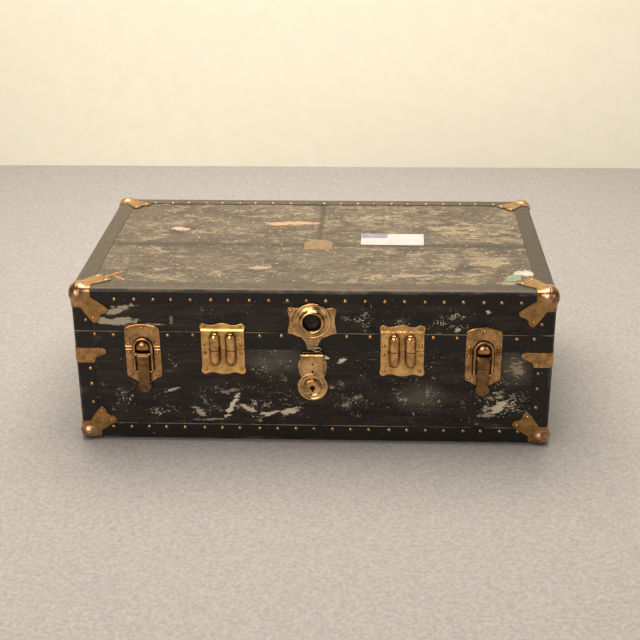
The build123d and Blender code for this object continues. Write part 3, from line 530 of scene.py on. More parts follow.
def on_front(shell, across=0.0):
    """A flat shell stood on the front: (across + x, front - out, up)."""
    return np.stack([shell[..., 0] + across, front_y / MM - shell[..., 2], shell[..., 1]], axis=-1)


def fitting(name, shells, finish, body, stands_for=(), apart=0.0, crease=38):
    """Stands flat shells on the front, in its middle or, for a pair of fittings, apart to each side of it."""
    centres = (-apart, apart) if apart else (0.0,)
    stood = [on_front(shell, x) for x in centres for shell in shells]
    put_in(name, stood, finish, body, stands_for, crease)


print("halfway through a step it has climbed to", step(5, 0, 10))

# %% Lines and turned forms
def circle(count, start=0.0):
    """Points of a unit circle: (cos a, sin a)."""
    angle = start + np.linspace(0, 2 * np.pi, count, endpoint=False)
    return np.stack([np.cos(angle), np.sin(angle)], axis=-1)


def turned(profile, columns=48):
    """A profile of (radius, height) or (radius, height, shift) rows spun round the third axis: (radius cos
    a, shift + radius sin a, height)."""
    profile = np.array(profile, float)
    ring = circle(columns)
    shift = profile[:, 2:3] if profile.shape[1] > 2 else 0.0
    across, along = profile[:, :1] * ring[:, 0], profile[:, :1] * ring[:, 1] + shift
    return np.stack([across, along, np.broadcast_to(profile[:, 1:2], across.shape)], axis=-1)


def outline(corners, reach, count, steps=7):
    """A closed line of count even points whose corners are rounded by parabolas that leave each side reach
    before the corner: (1 - t)^2 start + 2 t (1 - t) corner + t^2 end."""
    corners = np.array(corners, float)
    ends = []
    for side in (np.roll(corners, 1, 0) - corners, np.roll(corners, -1, 0) - corners):
        length = np.linalg.norm(side, axis=1, keepdims=True)
        cut = np.minimum(np.broadcast_to(reach, len(corners))[:, None], 0.49 * length)
        ends.append((corners + side / length * cut)[:, None])
    t = np.linspace(0, 1, steps)[None, :, None]
    bends = (1 - t) ** 2 * ends[0] + 2 * t * (1 - t) * corners[:, None] + t ** 2 * ends[1]
    return even(bends.reshape(-1, 2), count)


def even(line, count, closed=True):
    """The same line as count points at equal steps along it, the last one a step before its end."""
    if closed:
        line = np.vstack([line, line[:1]])
    along = np.concatenate([[0], np.cumsum(np.linalg.norm(np.diff(line, axis=0), axis=1))])
    at = np.linspace(0, along[-1], count, endpoint=False)
    return np.stack([np.interp(at, along, line[:, i]) for i in (0, 1)], axis=-1)


def mirrored(right_half):
    """A closed outline from its right half, listed upwards: the left half is the mirror image."""
    return [*right_half, *[(-x, z) for x, z in reversed(right_half) if x > 0]]


print("a rounded square has", len(outline([(0, 0), (9, 0), (9, 9), (0, 9)], 2, 40)), "points")

# %% Pressed sheet, rods, straps and nail heads
def pressed(line, back, face, relief=None, roll=0.8, rows=28, middle=None):
    """A stamping inside a counterclockwise line, as (across, up, out): rows go from the middle of the face
    to the rim, round a quarter circle of radius roll, down the wall and back beneath. Out = face +
    relief."""
    middle = line.mean(axis=0) if middle is None else np.array(middle, float)
    along = np.roll(line, -1, 0) - np.roll(line, 1, 0)
    inward = unit(np.stack([-along[:, 1], along[:, 0]], axis=-1))
    rim = line + roll * inward
    share = np.sin(np.linspace(0, np.pi / 2, rows))[:, None, None]
    top = middle + share * (rim - middle)
    rise = np.full(top.shape[:2], float(face)) + (0 if relief is None else relief(top[..., 0], top[..., 1]))
    bend = np.linspace(0, np.pi / 2, 5)[1:, None, None]
    edge = rim - roll * np.sin(bend) * inward
    edge_rise = rise[-1:] - roll * (1 - np.cos(bend[..., 0]))
    under = np.stack([line, np.broadcast_to(middle, line.shape)])
    flat = np.concatenate([top, edge, under])
    out = np.concatenate([rise, edge_rise, np.full((2, len(line)), float(back))])
    return np.concatenate([flat, out[..., None]], axis=-1)


def rod(path, radius, sideways, closed=False, squeeze=1.0, columns=14):
    """A round bar along a path: each ring is path + radius (cos a side + squeeze sin a sideways), where
    side is square to the path and to sideways. Open ends are closed by a half dome."""
    path = np.array(path, float)
    if closed:
        tangent = np.roll(path, -1, 0) - np.roll(path, 1, 0)
    else:
        tangent = np.gradient(path, axis=0)
    tangent = unit(tangent)
    size = np.broadcast_to(np.array(radius, float), len(path))[:, None]
    if closed:
        path, tangent = np.vstack([path, path[:1]]), np.vstack([tangent, tangent[:1]])
        size = np.vstack([size, size[:1]])
    else:
        dome = np.linspace(np.pi / 2, 0, 5)[:-1, None]
        head = path[:1] - tangent[:1] * size[:1] * np.sin(dome)
        tail = path[-1:] + tangent[-1:] * size[-1:] * np.sin(dome[::-1])
        size = np.vstack([size[:1] * np.cos(dome), size, size[-1:] * np.cos(dome[::-1])])
        path = np.vstack([head, path, tail])
        tangent = np.vstack([np.repeat(tangent[:1], 4, 0), tangent, np.repeat(tangent[-1:], 4, 0)])
    sideways = np.array(sideways, float)
    side = unit(np.cross(tangent, sideways))
    ring = circle(columns)
    return (path[:, None] + size[:, None] * (ring[None, :, :1] * side[:, None]
                                             + squeeze * ring[None, :, 1:] * sideways))


def strap(levels, halves, backs, faces, columns=36, power=7.0):
    """A bar that runs up and down: at each level a rounded rectangle (superellipse) |x / half|^power + |out
    / thickness|^power = 1."""
    ring = circle(columns, start=0.05)
    corner = np.sign(ring) * np.abs(ring) ** (2 / power)
    levels, halves, backs, faces = (np.array(v, float)[:, None] for v in (levels, halves, backs, faces))
    across = halves * corner[:, 0]
    out = (backs + faces) / 2 + (faces - backs) / 2 * corner[:, 1]
    body = np.stack([across, np.broadcast_to(levels, across.shape), out], axis=-1)
    ends = [np.broadcast_to(body[i].mean(axis=0), body[i].shape)[None] for i in (0, -1)]
    return np.concatenate([ends[0], body, ends[1]])


def domes(places, outwards, radius, height, columns=12, seed=1):
    """Nail heads: the profile (radius cos t, height sin t) spun round each nail's outward direction, each a
    little larger or smaller than the next and out of round by 5 % of cos 2a."""
    rng = np.random.default_rng(seed)
    rise = np.radians([90, 68, 45, 22, 0])
    profile = np.stack([np.cos(rise), np.sin(rise)], axis=-1)
    profile = np.vstack([profile, [[1.0, -0.15], [0.0, -0.15]]])
    ring = circle(columns)
    outwards = np.broadcast_to(np.array(outwards, float), (len(places), 3))
    slanted = (0.31, 0.93, 0.19)
    first = unit(np.cross(outwards, slanted))
    second = np.cross(outwards, first)
    heads = []
    for place, out, one, two in zip(np.array(places, float), outwards, first, second):
        lean = rng.uniform(0, np.pi)
        size = radius * rng.uniform(0.93, 1.05)
        wobble = 1 + 0.05 * np.cos(2 * (np.arctan2(ring[:, 1], ring[:, 0]) - lean))
        flat = (ring[:, :1] * one + ring[:, 1:] * two) * wobble[:, None] * size
        heads.append(place + profile[:, 0, None, None] * flat + profile[:, 1, None, None] * height * out)
    return heads


print("a nail head has", domes([(0, 0, 0)], (0, 0, 1), 3.7, 1.8)[0].shape, "points")

# %% [markdown]
# ## Corner caps
# Each cap is one pressing: three leaves over the bindings and a ball pushed out over the point, so that the
# trunk lands on metal. A point p of the sharp corner is first pulled onto the rounded edges, then lifted
# square to them by the sheet, or by the ball where it stands higher. A small hollow joins the two, as in
# pressed metal.

# %% The pressed corner
# millimetres inwards from the sharp corner, or the size of a form
edge_radius, cap_sheet = 8.5, 1.2
ball_radius, ball_inset = 18.6, 13.3
cap_root, lobe_radius = 37.0, 10.5
bridge_reach, waist_swell, hollow_width, middle_depth = 78.0, 2.0, 12 ** 0.5, 11.6
lobe_angle, lobe_distance = np.arctan2(41.2, 60.6), np.hypot(60.6, 41.2)


def leaf_reach(angle):
    """A leaf's reach from the corner at an angle from its edge: root / cos at the edges with a swelling
    waist, then out along the lobe's circle, and a shallow bridge between the two lobes."""
    off = np.minimum(angle, np.pi / 2 - angle)
    root = cap_root / np.cos(off) + waist_swell * np.sin(np.pi * np.clip(off / np.radians(40), 0, 1))
    away = off - lobe_angle
    half_chord = np.sqrt(np.maximum(lobe_radius ** 2 - (lobe_distance * np.sin(away)) ** 2, 0))
    bridge = bridge_reach / np.cos(np.radians(45) - off)
    outer = np.maximum(lobe_distance * np.cos(away) + half_chord, np.where(away > 0, bridge, 0))
    return root + (outer - root) * step(off, np.radians(24.5), np.radians(31))


def on_corner(flat, lift):
    """A point of the sharp corner, pulled onto the rounded box: q + n (radius + lift), with q = max(p,
    radius) and n the direction from q to p. lift is a height or a function of the rounded place and n."""
    core = np.maximum(flat, edge_radius)
    away = unit(flat - core)
    skin = core + away * edge_radius
    return skin + away * (lift(skin, away)[..., None] if callable(lift) else lift)


def ball_lift(skin, away):
    """Height of the ball over the rounded box: the ray along away meets the sphere's far side, or nothing."""
    toward = skin - ball_inset
    along = (toward * away).sum(axis=-1)
    inside = along ** 2 - (toward ** 2).sum(axis=-1) + ball_radius ** 2
    return np.where(inside > 0, -along + np.sqrt(np.maximum(inside, 0)), -9.0)


def pressed_lift(skin, away):
    """The higher of sheet and ball, joined by a hollow: (a + b) / 2 plus half of hypot(a - b, width). Round
    the point itself the ball alone is left."""
    ball = ball_lift(skin, away)
    both = (cap_sheet + ball + np.hypot(ball - cap_sheet, hollow_width)) / 2
    return ball + (both - ball) * step(skin.max(axis=-1), 13, 17)


print("a leaf reaches", round(float(leaf_reach(lobe_angle)), 1), "mm from the corner")

# %% Corner caps
def corner_cap(columns=110):
    """One cap in inward millimetres from the corner, as a closed grid with its pole at the point."""
    turn = np.radians(np.linspace(0, 90, 1501))
    leaf = leaf_reach(turn)[:, None] * np.stack([np.cos(turn), np.sin(turn)], axis=-1)
    leaf = even(leaf, columns, closed=False)
    axes = np.eye(3)
    edge = np.concatenate([leaf[:, :1] * axes[i] + leaf[:, 1:] * axes[i - 2] for i in range(3)])
    shares = np.concatenate([np.linspace(0, 0.62, 40), np.linspace(0.65, 0.955, 10), [0.97, 0.985, 0.993]])
    top = on_corner(shares[:, None, None] * edge, pressed_lift)
    rim, foot = on_corner(edge[None] * 0.998, 0.75), on_corner(edge[None], 0.3)
    under = on_corner(np.linspace(1.0, 0.45, 6)[:, None, None] * edge, 0.02)
    middle = np.full(under[:1].shape, middle_depth)
    return np.concatenate([top, rim, foot, under, middle])


cap = corner_cap()
trunk_top, trunk_bottom = bound_high[2] / MM, floor_z / MM
half_x, half_y = bound_high[0] / MM, (bound_high[1] - middle_y) / MM


def at_corners(inward, level, up):
    """Four copies of inward points, mirrored into each corner of the trunk at a level: up is -1 for the
    lid, whose inward direction is down, and 1 for the base. Nothing goes below the floor."""
    copies = []
    for right_side in (-1, 1):
        for back in (-1, 1):
            x = right_side * (half_x - inward[..., 0])
            y = middle_y / MM + back * (half_y - inward[..., 1])
            z = np.maximum(level + up * inward[..., 2], 0)
            copies.append(np.stack([x, y, z], axis=-1))
    return copies


lobe = lobe_distance * np.array([np.cos(lobe_angle), np.sin(lobe_angle)])
cap_rivets = np.array([np.insert(pair, k, -cap_sheet) for k in range(3) for pair in (lobe, lobe[::-1])])
rivet_out = -np.repeat(np.eye(3), 2, axis=0)
ball_nails = ball_inset - ball_radius * 0.985 * np.eye(3)
for side, level, up in (("lid", trunk_top, -1), ("base", trunk_bottom, 1)):
    put_in(f"{side}_ball_caps", at_corners(cap, level, up), cap_brass, side,
           [f"{side}_corner_caps"])
    heads = domes(cap_rivets, rivet_out, radius=3.6, height=1.7, seed=5)
    heads += domes(ball_nails, -np.eye(3), radius=3.0, height=0.8, seed=6)
    shells = [head for corner in at_corners(np.array(heads), level, up) for head in corner]
    put_in(f"{side}_cap_rivets", shells, nail_brass, side)

# %% [markdown]
# ## Draw bolts
# The lid's plate carries a round hood and the base's plate carries the lever between two ears. The flat
# wire loop hooked over the hood is drawn tight as the lever folds down. Both plates have a rib each side of
# the split.

# %% Catches and keepers
# millimetres: across from the middle, out from the covering, and up
bolt_spacing = 325.0
lid_face_out, base_face_out = 3.0, 1.5
lid_rim, base_rim = 201.15, 200.85
arch = np.radians(np.linspace(0, 180, 41))
crown = [(37.5 * np.cos(a), 235 + 17 * np.sin(a) ** 0.9) for a in arch if abs(37.5 * np.cos(a)) < 34]
catch_line = outline([(34, lid_rim), (34, 236), *crown, (-34, 236), (-34, lid_rim)], 1.2, 240)
catch = pressed(catch_line, 0.1, lid_face_out, roll=1.0, middle=(0, 224), rows=40, relief=lambda x, z: (
    0.9 * bump_line(z, 204.8, 1.3) * step(abs(x), 20, 22)
    + 0.5 * bump_line(np.hypot(x / 37.5, (z - 235) / 17), 0.9, 0.06) * step(z, 232, 240)))
hood_top = [(13.2 * np.cos(a), 205 + 13.2 * np.sin(a)) for a in arch]
hood_line = outline([(13.2, lid_rim), *hood_top, (-13.2, lid_rim)], 0.3, 120)
hood = pressed(hood_line, 2.0, lid_face_out, roll=0.3, middle=(0, 204), rows=22, relief=lambda x, z: (
    8.7 * np.sqrt(np.maximum(1 - (np.hypot(x, np.maximum(z - 205, 0)) / 13.15) ** 2.6, 0))))

keeper_half = [(0, 129.2), (12, 129.6), (19, 133), (25, 138.5), (32.5, 140), (34, 146), (34, base_rim)]
keeper_line = outline(mirrored(keeper_half), 4.0, 240)
keeper = pressed(keeper_line, 0.1, base_face_out, roll=0.8, middle=(0, 168), rows=34, relief=lambda x, z: (
    0.9 * bump_line(z, 197.2, 1.3) * step(abs(x), 20, 22)
    - 0.5 * step(21 - abs(x), 0, 2) * step(z, 150, 156)))
ear_line = [(0.5, 185.6), (6, 185.6), (10.1, 187.5), (10.1, 192.5), (6, 194.4), (0.5, 194.4)]
ear_line = outline(ear_line, 3, 60)
ears = [pressed(ear_line, low, low + 2.0, roll=0.4, rows=10)[..., [2, 1, 0]] for low in (11.8, -13.8)]
fitting("draw_bolt_catches", (catch, hood), aged_brass, "lid", ["drawbolt_catch_plates"], bolt_spacing)
fitting("draw_bolt_keepers", (keeper, *ears), aged_brass, "base", ["drawbolt_keeper_plates"], bolt_spacing)

# %% Levers and wire loops
levels = np.concatenate([[194.05], np.linspace(193.9, 110.4, 150)])
knuckle = np.sqrt(np.maximum(16.2 - (levels - 190) ** 2, 0.01))
eye = np.sqrt(np.maximum(16.2 - (levels - 153) ** 2, 0.01))
bridge = step(levels, 168.2, 170.2)
lever_face = np.where(levels > 190, 6 + knuckle * 1.1, 9.9 + 1.3 * bridge * step(-levels, -190.5, -186))
lever_back = np.where(levels > 190, 6 - knuckle, 7.8 - 1.8 * bridge)
lever_back = np.where(abs(levels - 153) < 4, np.minimum(lever_back, 6 - eye), lever_back)
lever_half = 11.5 - 0.5 * step(-levels, -168, -128) + 2.6 * step(-levels, -129, -125)
spade = np.clip((levels - 110.3) / 16, 0, 1)
spade = 13.5 * np.sqrt(spade * (2 - spade)) ** 1.1
lever_half = np.where(levels < 124, np.minimum(lever_half, spade), lever_half)
lever_face = lever_face + 0.5 * bump_line(levels, 168.6, 1.4) - 0.4 * step(-levels, -126, -112)
lever_back = lever_back + 0.3 * step(-levels, -120, -111)
lever = strap(levels, lever_half, lever_back, lever_face, columns=44)

half, spring, foot = 16.9, 205.0, 153.0
arc = np.radians(np.linspace(0, 180, 37))
turn_in = np.radians(np.linspace(180, 270, 8))
right_leg = [(half, z) for z in np.linspace(foot + 5, spring - 2, 16)]
left_leg = [(-x, z) for x, z in reversed(right_leg)]
corner_left = [(-half + 4 + 4 * np.cos(a), foot + 4 + 4 * np.sin(a)) for a in turn_in]
corner_right = [(-x, z) for x, z in reversed(corner_left)]
loop_path = np.array([*right_leg, *[(half * np.cos(a), spring + half * np.sin(a)) for a in arc], *left_leg,
                      *corner_left, *[(x, foot) for x in np.linspace(-10, 10, 8)], *corner_right])
loop_path = np.insert(even(loop_path, 150), 2, 6.0, axis=1)
across_foot = step(-loop_path[:, 1], -157, -154)
loop = rod(loop_path, 2.55 - 0.25 * across_foot, (0, 0, 1), closed=True, squeeze=0.84, columns=18)

for side, x in (("left", -bolt_spacing), ("right", bolt_spacing)):
    for part, shell, finish in (("lever", lever, dark_brass), ("loop", loop, aged_brass)):
        put_in(f"{side}_draw_{part}", [on_front(shell, x)], finish, f"{side}_{part}",
               [f"{side}_drawbolt_{part}"])

# %% [markdown]
# ## Dowels
# Two pairs of dowels line the lid up before the bolts are drawn. Each plate has two long hoods, like pencil
# cases cut across, that hold the pins above and the sockets below. The upper plate steps back onto the lid,
# and that step catches a bright line. The hoods stand proud, so they are rubbed browner than the plates.

# %% Dowel plates and hoods
dowel_spacing, pitch, hood_radius = 171.0, 30.6, 10.7
lobe_arc = np.radians(np.linspace(-30, 112, 12))
lobe_edge = [(36 + 7.3 * np.cos(a), 247 + 7.3 * np.sin(a)) for a in lobe_arc]
upper_half = [(41.3, lid_rim), (41.3, 239), *lobe_edge, (25, 250.7), (17, 250.9), (9, 253.8), (0, 255.2)]
upper_line = outline(mirrored(upper_half), 2.5, 260)
upper_plate = pressed(upper_line, 0.1, lid_face_out, roll=0.9, middle=(0, 228), rows=44, relief=lambda x, z: (
    -1.35 * step(z, 240.0, 243.5) + 0.7 * bump_line(z, 238.6, 1.8)))
lower_line = even(upper_line[::-1] * (1, -1) + (0, lid_rim + base_rim), 260)
lower_plate = pressed(lower_line, 0.1, base_face_out, middle=(0, 174), rows=40, relief=lambda x, z: (
    0.5 * bump_line(z, 151.0, 2.5) * step(18 - abs(x), 0, 6)))

nose = np.radians(np.linspace(0, 90, 10))
upper_hood = [(0, lid_rim), (9.8, lid_rim), (hood_radius, lid_rim + 0.9), (hood_radius, 225)]
upper_hood += [(hood_radius * np.cos(a), 226 + hood_radius * np.sin(a)) for a in nose]
lower_hood = [(0, 189.0, 4.2), (4.2, 189.0, 4.2), (4.2, base_rim, 4.2), (9.8, base_rim, 0),
              (hood_radius, base_rim - 0.9, 0), (10.5, 190, 0), (9.9, 177, 0)]
lower_hood += [(9.8 * np.cos(a), 176 - 9.8 * np.sin(a), 0) for a in nose]


def stood_up(shell, across, out):
    """A turned shell set upright on a fitting: its axis becomes up."""
    return shell[..., [0, 2, 1]] + (across, 0, out)


hoods = [[stood_up(turned(profile, 40), x, 2.0) for x in (-pitch / 2, pitch / 2)]
         for profile in (upper_hood, lower_hood)]
for kind, (upper, lower), finish in (("plates", ([upper_plate], [lower_plate]), gold_brass),
                                     ("hoods", hoods, hood_brass)):
    fitting(f"dowel_{kind}_upper", upper, finish, "lid", ["dowel_pin_plates"], dowel_spacing)
    fitting(f"dowel_{kind}_lower", lower, finish, "base", ["dowel_socket_plates"], dowel_spacing)

# %% [markdown]
# ## Lock
# The hasp hangs from a rolled bead. Swung up, its round plug enters the ringed receiver on the lid.
# Receiver and head are spun or pressed in rings, so each is a profile: ring, hollow, raised lip, bore. The
# keyhole's outline is carried outwards ring by ring until it becomes the round of the head. Near-black pieces
# in the keyhole and in the flap's two pressed slots are painted shade.

# %% Lock plate and ring
ring_centre, head_centre, hinge_level = 262.0, 124.0, 193.0
lobe_arc = np.radians([110, 85, 60, 40, 20, -5, -30])
wing = [(40.4 + 6.2 * np.cos(a), 283.3 + 6.2 * np.sin(a)) for a in lobe_arc]
wing += [(43.6, 270), (42.8, 262), (43.6, 254)]
wing += [(x, 2 * ring_centre - z) for x, z in reversed(wing[:7])]
plate_half = [(0, 298.2), (14, 295.5), (27, 287.5), *wing, (30, 230.5), (20, 227.5), (14, 219), (11.5, 212),
              (9.2, lid_rim)][::-1]
lock_line = outline(mirrored(plate_half), 2.5, 300)
lock_plate = pressed(lock_line, 0.1, lid_face_out, roll=0.9, middle=(0, ring_centre), rows=34)
ring_profile = [(36, 0), (36.4, 1.0), (35.8, 2.3), (34.4, 2.9), (33, 2.6), (31.8, 2.0), (30.6, 2.3),
                (29.6, 3.4), (28.4, 4.3), (27, 4.4), (25.8, 4.6), (24.8, 5.6), (24.0, 7.4), (23.2, 9.4),
                (22.2, 10.9), (21, 11.5), (19.6, 11.5), (18.4, 10.9), (17.5, 9.8), (17.1, 8), (17.0, 0),
                (36, 0)]
receiver = turned(ring_profile, 96) + (0, ring_centre, lid_face_out)
# A near-black disc on the floor of the ring's bore, with small steps in it.
bore_floor = turned([(0, 1.2), (4, 1.2), (4.6, 0.5), (11, 0.45), (11.6, 0.9), (14, 0.9), (14.6, 0.4), (16.9, 0.3),
                (16.9, 0), (0, 0)], 48) + (0, ring_centre, lid_face_out)
fitting("lock_plate", [lock_plate], lock_brass, "lid", ["lock_lid_plate"])
fitting("lock_ring", [receiver], lock_brass, "lid", ["lock_receiver"], crease=60)
fitting("lock_bore_floor", [bore_floor], near_black_metal, "lid")

# %% Seat and hasp
seat_arc = np.radians(np.linspace(-90, 38, 16))
base_half = [(28.9 * np.cos(a), head_centre + 28.9 * np.sin(a)) for a in seat_arc]
base_half += [(23.6, 145), (25.5, 152), (27.8, 165), (26.8, 176), (22.5, 184), (21.5, 196.1)]
base_line = outline(mirrored(base_half), 3.0, 260)
lock_base = pressed(base_line, 0.1, base_face_out, roll=0.9, middle=(0, 160), rows=24)
ear_line = [(0.5, 189.5), (9.5, 189.5), (12.8, 191), (12.8, 195), (9.5, 196.3), (0.5, 196.3)]
ear_line = outline(ear_line, 2, 48)
lock_ears = [pressed(ear_line, low, low + 2.4, roll=0.4, rows=8)[..., [2, 1, 0]] for low in (20.0, -22.4)]

flap_half = [(0, 122), (21.0, 122), (21.5, 150), (21.5, 186.5)]
flap_line = outline(mirrored(flap_half), 1.5, 220)
flap = pressed(flap_line, 2.2, 4.2, roll=0.5, middle=(0, 160), rows=44, relief=lambda x, z: (
    0.7 * bump_line(abs(x), 18.6, 1.0) * step(z, 150, 153) + 0.8 * bump_line(z, 184.6, 1.4)
    - 1.3 * bump_line(x, 0, 2.0) * bump_line(z, 155.5, 3.0)
    - 1.0 * bump_line(x, 0, 1.6) * bump_line(z, 171, 2.0)
    + 0.7 * bump_line(np.hypot(x / 4.2, (z - 163) / 13), 1, 0.3)))
knee_levels = np.linspace(184.2, 194.5, 20)
knee_face = 4.5 + 7.7 * step(knee_levels, 184.5, 191.5)
knee_half = 20.2 - 0.6 * step(knee_levels, 184, 188)
knee = strap(knee_levels, knee_half, knee_face - 2.0, knee_face, 44)
bead = rod([(x, hinge_level, 9.5) for x in np.linspace(-16.4, 16.4, 12)], 3.2, (0, 0, 1), columns=24)
bead[..., 0] = np.clip(bead[..., 0] * 1.2, -19.6, 19.6)

ring = circle(128)
slot = np.minimum(8.5 / np.maximum(-ring[:, 1], 1e-3), 1.6 / np.maximum(abs(ring[:, 0]), 1e-3))
keyhole = ring * np.maximum(5.0, np.where(ring[:, 1] < 0, slot, 0))[:, None]
rows = [(keyhole, 1.9), (keyhole, 9.3), (keyhole * 1.03, 9.5)]
rows += [(ring * radius, out) for radius, out in (
    (9.6, 9.5), (13.2, 9.5), (13.9, 9.9), (14.7, 10.9), (15.5, 11.2), (16.1, 10.9), (16.4, 10.1), (16.5, 6.2),
    (17.2, 4.3), (18.4, 3.5), (20.5, 3.5), (23, 3.9), (25.2, 4.7), (26.8, 5.3), (28.2, 5.2), (29.2, 4.5),
    (29.6, 3.5), (29.6, 1.9))]
rows += [(keyhole, 1.9)]
head = np.stack([np.insert(line, 2, out, axis=1) for line, out in rows]) + (0, head_centre, 0)

fitting("lock_seat", (lock_base, *lock_ears), lock_brass, "base", ["lock_base_plate"])
fitting("lock_hasp", (flap, knee, bead, head), lock_brass, "hasp", ["hasp"])
# Painted shade: a near-black disc behind the keyhole and near-black bars in the flap's two pressed slots
# stand for the shade inside them.
keyhole_shade = turned([(0, 5.6), (2.1, 5.4), (2.6, 4.6), (9.5, 4.5), (9.5, 2.3), (0, 2.3)], 32) + (0, head_centre, 0)
slot_shades = [rod([(0, z - reach, 3.9), (0, z + reach, 3.9)], 0.75, (0, 0, 1))
         for z, reach in ((155.5, 1.8), (171, 0.7))]
fitting("lock_keyhole_shade", (keyhole_shade, *slot_shades), near_black_metal, "hasp")

# %% [markdown]
# ## Rivets, nails and a wire ring
# Domed nails hold the binding strips down, in rows about a thumb's length apart. They were hammered by
# hand, so their steps wander a little. The fittings have their own smaller rivets at the lobes.

# %% Rivets
def rivets(name, body, spots, out, radius=3.5, height=2.2, finish=nail_brass, seed=2):
    """Domes on the front fittings, at (across, up) spots, standing on a face out from the covering."""
    fitting(name, domes([(x, z, out) for x, z in spots], (0, 0, 1), radius, height, seed=seed), finish, body)


def both_sides(spots, centre):
    """Spots listed for one side, mirrored about a fitting's centre line, at both fittings."""
    return [(side + mirror * x, z) for side in (-centre, centre) for x, z in spots
            for mirror in ((1, -1) if x else (1,))]


rivets("catch_rivets", "lid", both_sides([(0, 244.2), (27.3, 210.5)], bolt_spacing), lid_face_out, seed=21)
rivets("keeper_rivets", "base", both_sides([(27.3, 192), (26.5, 145.5)], bolt_spacing), base_face_out,
       seed=22)
rivets("dowel_upper_rivets", "lid", both_sides([(35.3, 211.8)], dowel_spacing), lid_face_out, seed=23)
rivets("dowel_top_rivets", "lid", both_sides([(34.2, 248)], dowel_spacing), lid_face_out - 1.3, 3.0, seed=24)
rivets("dowel_lower_rivets", "base", both_sides([(35.3, 192.6), (34.2, 158.8)], dowel_spacing), base_face_out,
       seed=25)
rivets("lock_rivets", "lid", [(x, z) for x in (-40.4, 40.4) for z in (241, 283)], lid_face_out, 3.1, 1.9,
       seed=26)
rivets("head_rivets", "hasp", [(-20.6, head_centre), (20.6, head_centre)], 3.4, 1.6, 0.7, dark_brass, seed=27)
rivets("corner_plate_rivets", "base",
       [(side * x, z) for side in (-1, 1) for x, z in ((403.5, 193.8), (427, 175))], 2.7, 2.8, 1.2, seed=28)

# %% Nails
rng = np.random.default_rng(7)


def nail_row(low, high, pitch, skip=()):
    """Places along a line at about a pitch, each off by up to 6 % of it, but for the stretches in skip."""
    count = int(round((high - low) / pitch)) + 1
    along = np.linspace(low, high, count) + rng.uniform(-0.06, 0.06, count) * pitch
    return along[[all(not a < value < b for a, b in skip) for value in along]]


front_out, back_out, side_out = bound_low[1] / MM, bound_high[1] / MM, bound_high[0] / MM
front_band = [-416, -380, -276, -227.5, -99.7, -58.5, 65.8, 110, 228.8, 274, 385.8, 418.5]
hinge_gaps = [(side * 270 - 38, side * 270 + 38) for side in (-1, 1)]
ends_y = (front_out + 75, back_out - 75)
top_row, rim_row, foot_row, lid_upright, base_upright = 302.4, 229.5, 30.3, (259,), (157, 124, 84)
nails = {"lid": ([], []), "base": ([], [])}


def add_nails(body, spots, way):
    """Adds a body's nails, all facing one way."""
    nails[body][0].extend(spots)
    nails[body][1].extend([way] * len(spots))


add_nails("lid", [(x, front_out, top_row) for x in nail_row(-374, 392, 36.5)], (0, -1, 0))
add_nails("lid", [(x, front_out, rim_row + rng.uniform(-1, 1)) for x in front_band], (0, -1, 0))
add_nails("lid", [(x, back_out, top_row) for x in nail_row(-380, 380, 36.5)], (0, 1, 0))
add_nails("lid", [(x, back_out, rim_row) for x in nail_row(-420, 420, 44, hinge_gaps)], (0, 1, 0))
add_nails("base", [(x, front_out, foot_row) for x in nail_row(-396, 400, 36)], (0, -1, 0))
add_nails("base", [(x, back_out, foot_row) for x in nail_row(-396, 396, 36)], (0, 1, 0))
for side in (-1, 1):
    for face, way in ((front_out, -1), (back_out, 1)):
        for body, x, levels in (("lid", 431, lid_upright), ("base", 430, base_upright)):
            add_nails(body, [(side * x, face, z) for z in levels], (0, way, 0))
            add_nails(body, [(side * side_out, face - way * 26, z) for z in levels], (side, 0, 0))
    for body, z, pitch in (("lid", top_row, 36.5), ("lid", rim_row, 44), ("base", foot_row, 36)):
        add_nails(body, [(side * side_out, y, z) for y in nail_row(*ends_y, pitch)], (side, 0, 0))
add_nails("lid", [(x, back_out - 28, trunk_top) for x in nail_row(-376, 380, 38)], (0, 0, 1))
for body, seed in (("lid", 31), ("base", 32)):
    put_in(f"{body}_nails", domes(*nails[body], 3.7, height=1.7, seed=seed), nail_brass, body)

# %% Wire ring
sway = np.linspace(0, 2 * np.pi, 40, endpoint=False)
wire = np.stack([8.3 + 8.6 * np.cos(sway), 204.6 + 4.0 * np.sin(sway) + 0.9 * np.cos(2 * sway),
                 5.2 + 1.3 * np.cos(sway)], axis=-1)
ring = rod(wire, 1.0, (0, 0, 1), closed=True, columns=10)
fitting("seal_wire", [ring], pin_steel, "lid")

# %% [markdown]
# ## Leather grips
# Each end handle has a stacked leather grip on its bar. Hands have left the middle fat and narrowed the
# ends, and two stitched seams ring it.

# %% Grips
def leather():
    """Brown leather, darker where hands have greased it, with a fine pebble."""
    finish, tree, place = new_finish("waxed_leather")
    grease = clouds(tree, place, 18, 41.0)
    colour = add(tree, "ValToRGB", [grease], stops=[(0.3, "#24150d"), (0.7, "#4a2c1a")])
    pebble = add(tree, "TexVoronoi", {"Vector": place, "Scale": per_metre(1.6)}, feature="SMOOTH_F1")
    return joined(finish, colour, add(tree, "MapRange", (grease, 0.0, 1.0, 0.38, 0.6)), pebble, 0.5, 0.25)


grip_leather = leather()
length = np.linspace(-41.6, 41.6, 60)
swell = 6.7 + 1.2 * np.cos(np.pi * length / 90) - 0.5 * bump_line(abs(length), 36.5, 0.8)
swell = np.minimum(swell, 5.4 + 2.4 * np.sqrt(np.clip(42.2 - abs(length), 0, 4) / 4))
grip_out, grip_level = 468, 102.0
grip_profile = [(0, length[0]), *zip(swell, length), (0, length[-1])]
for side, x in (("left", -grip_out), ("right", grip_out)):
    grip = stood_up(turned(grip_profile, 32), x, grip_level) + (0, middle_y / MM, 0)
    put_in(f"{side}_leather_grip", [grip], grip_leather, f"{side}_handle",
           [f"{side}_handle_grip"])

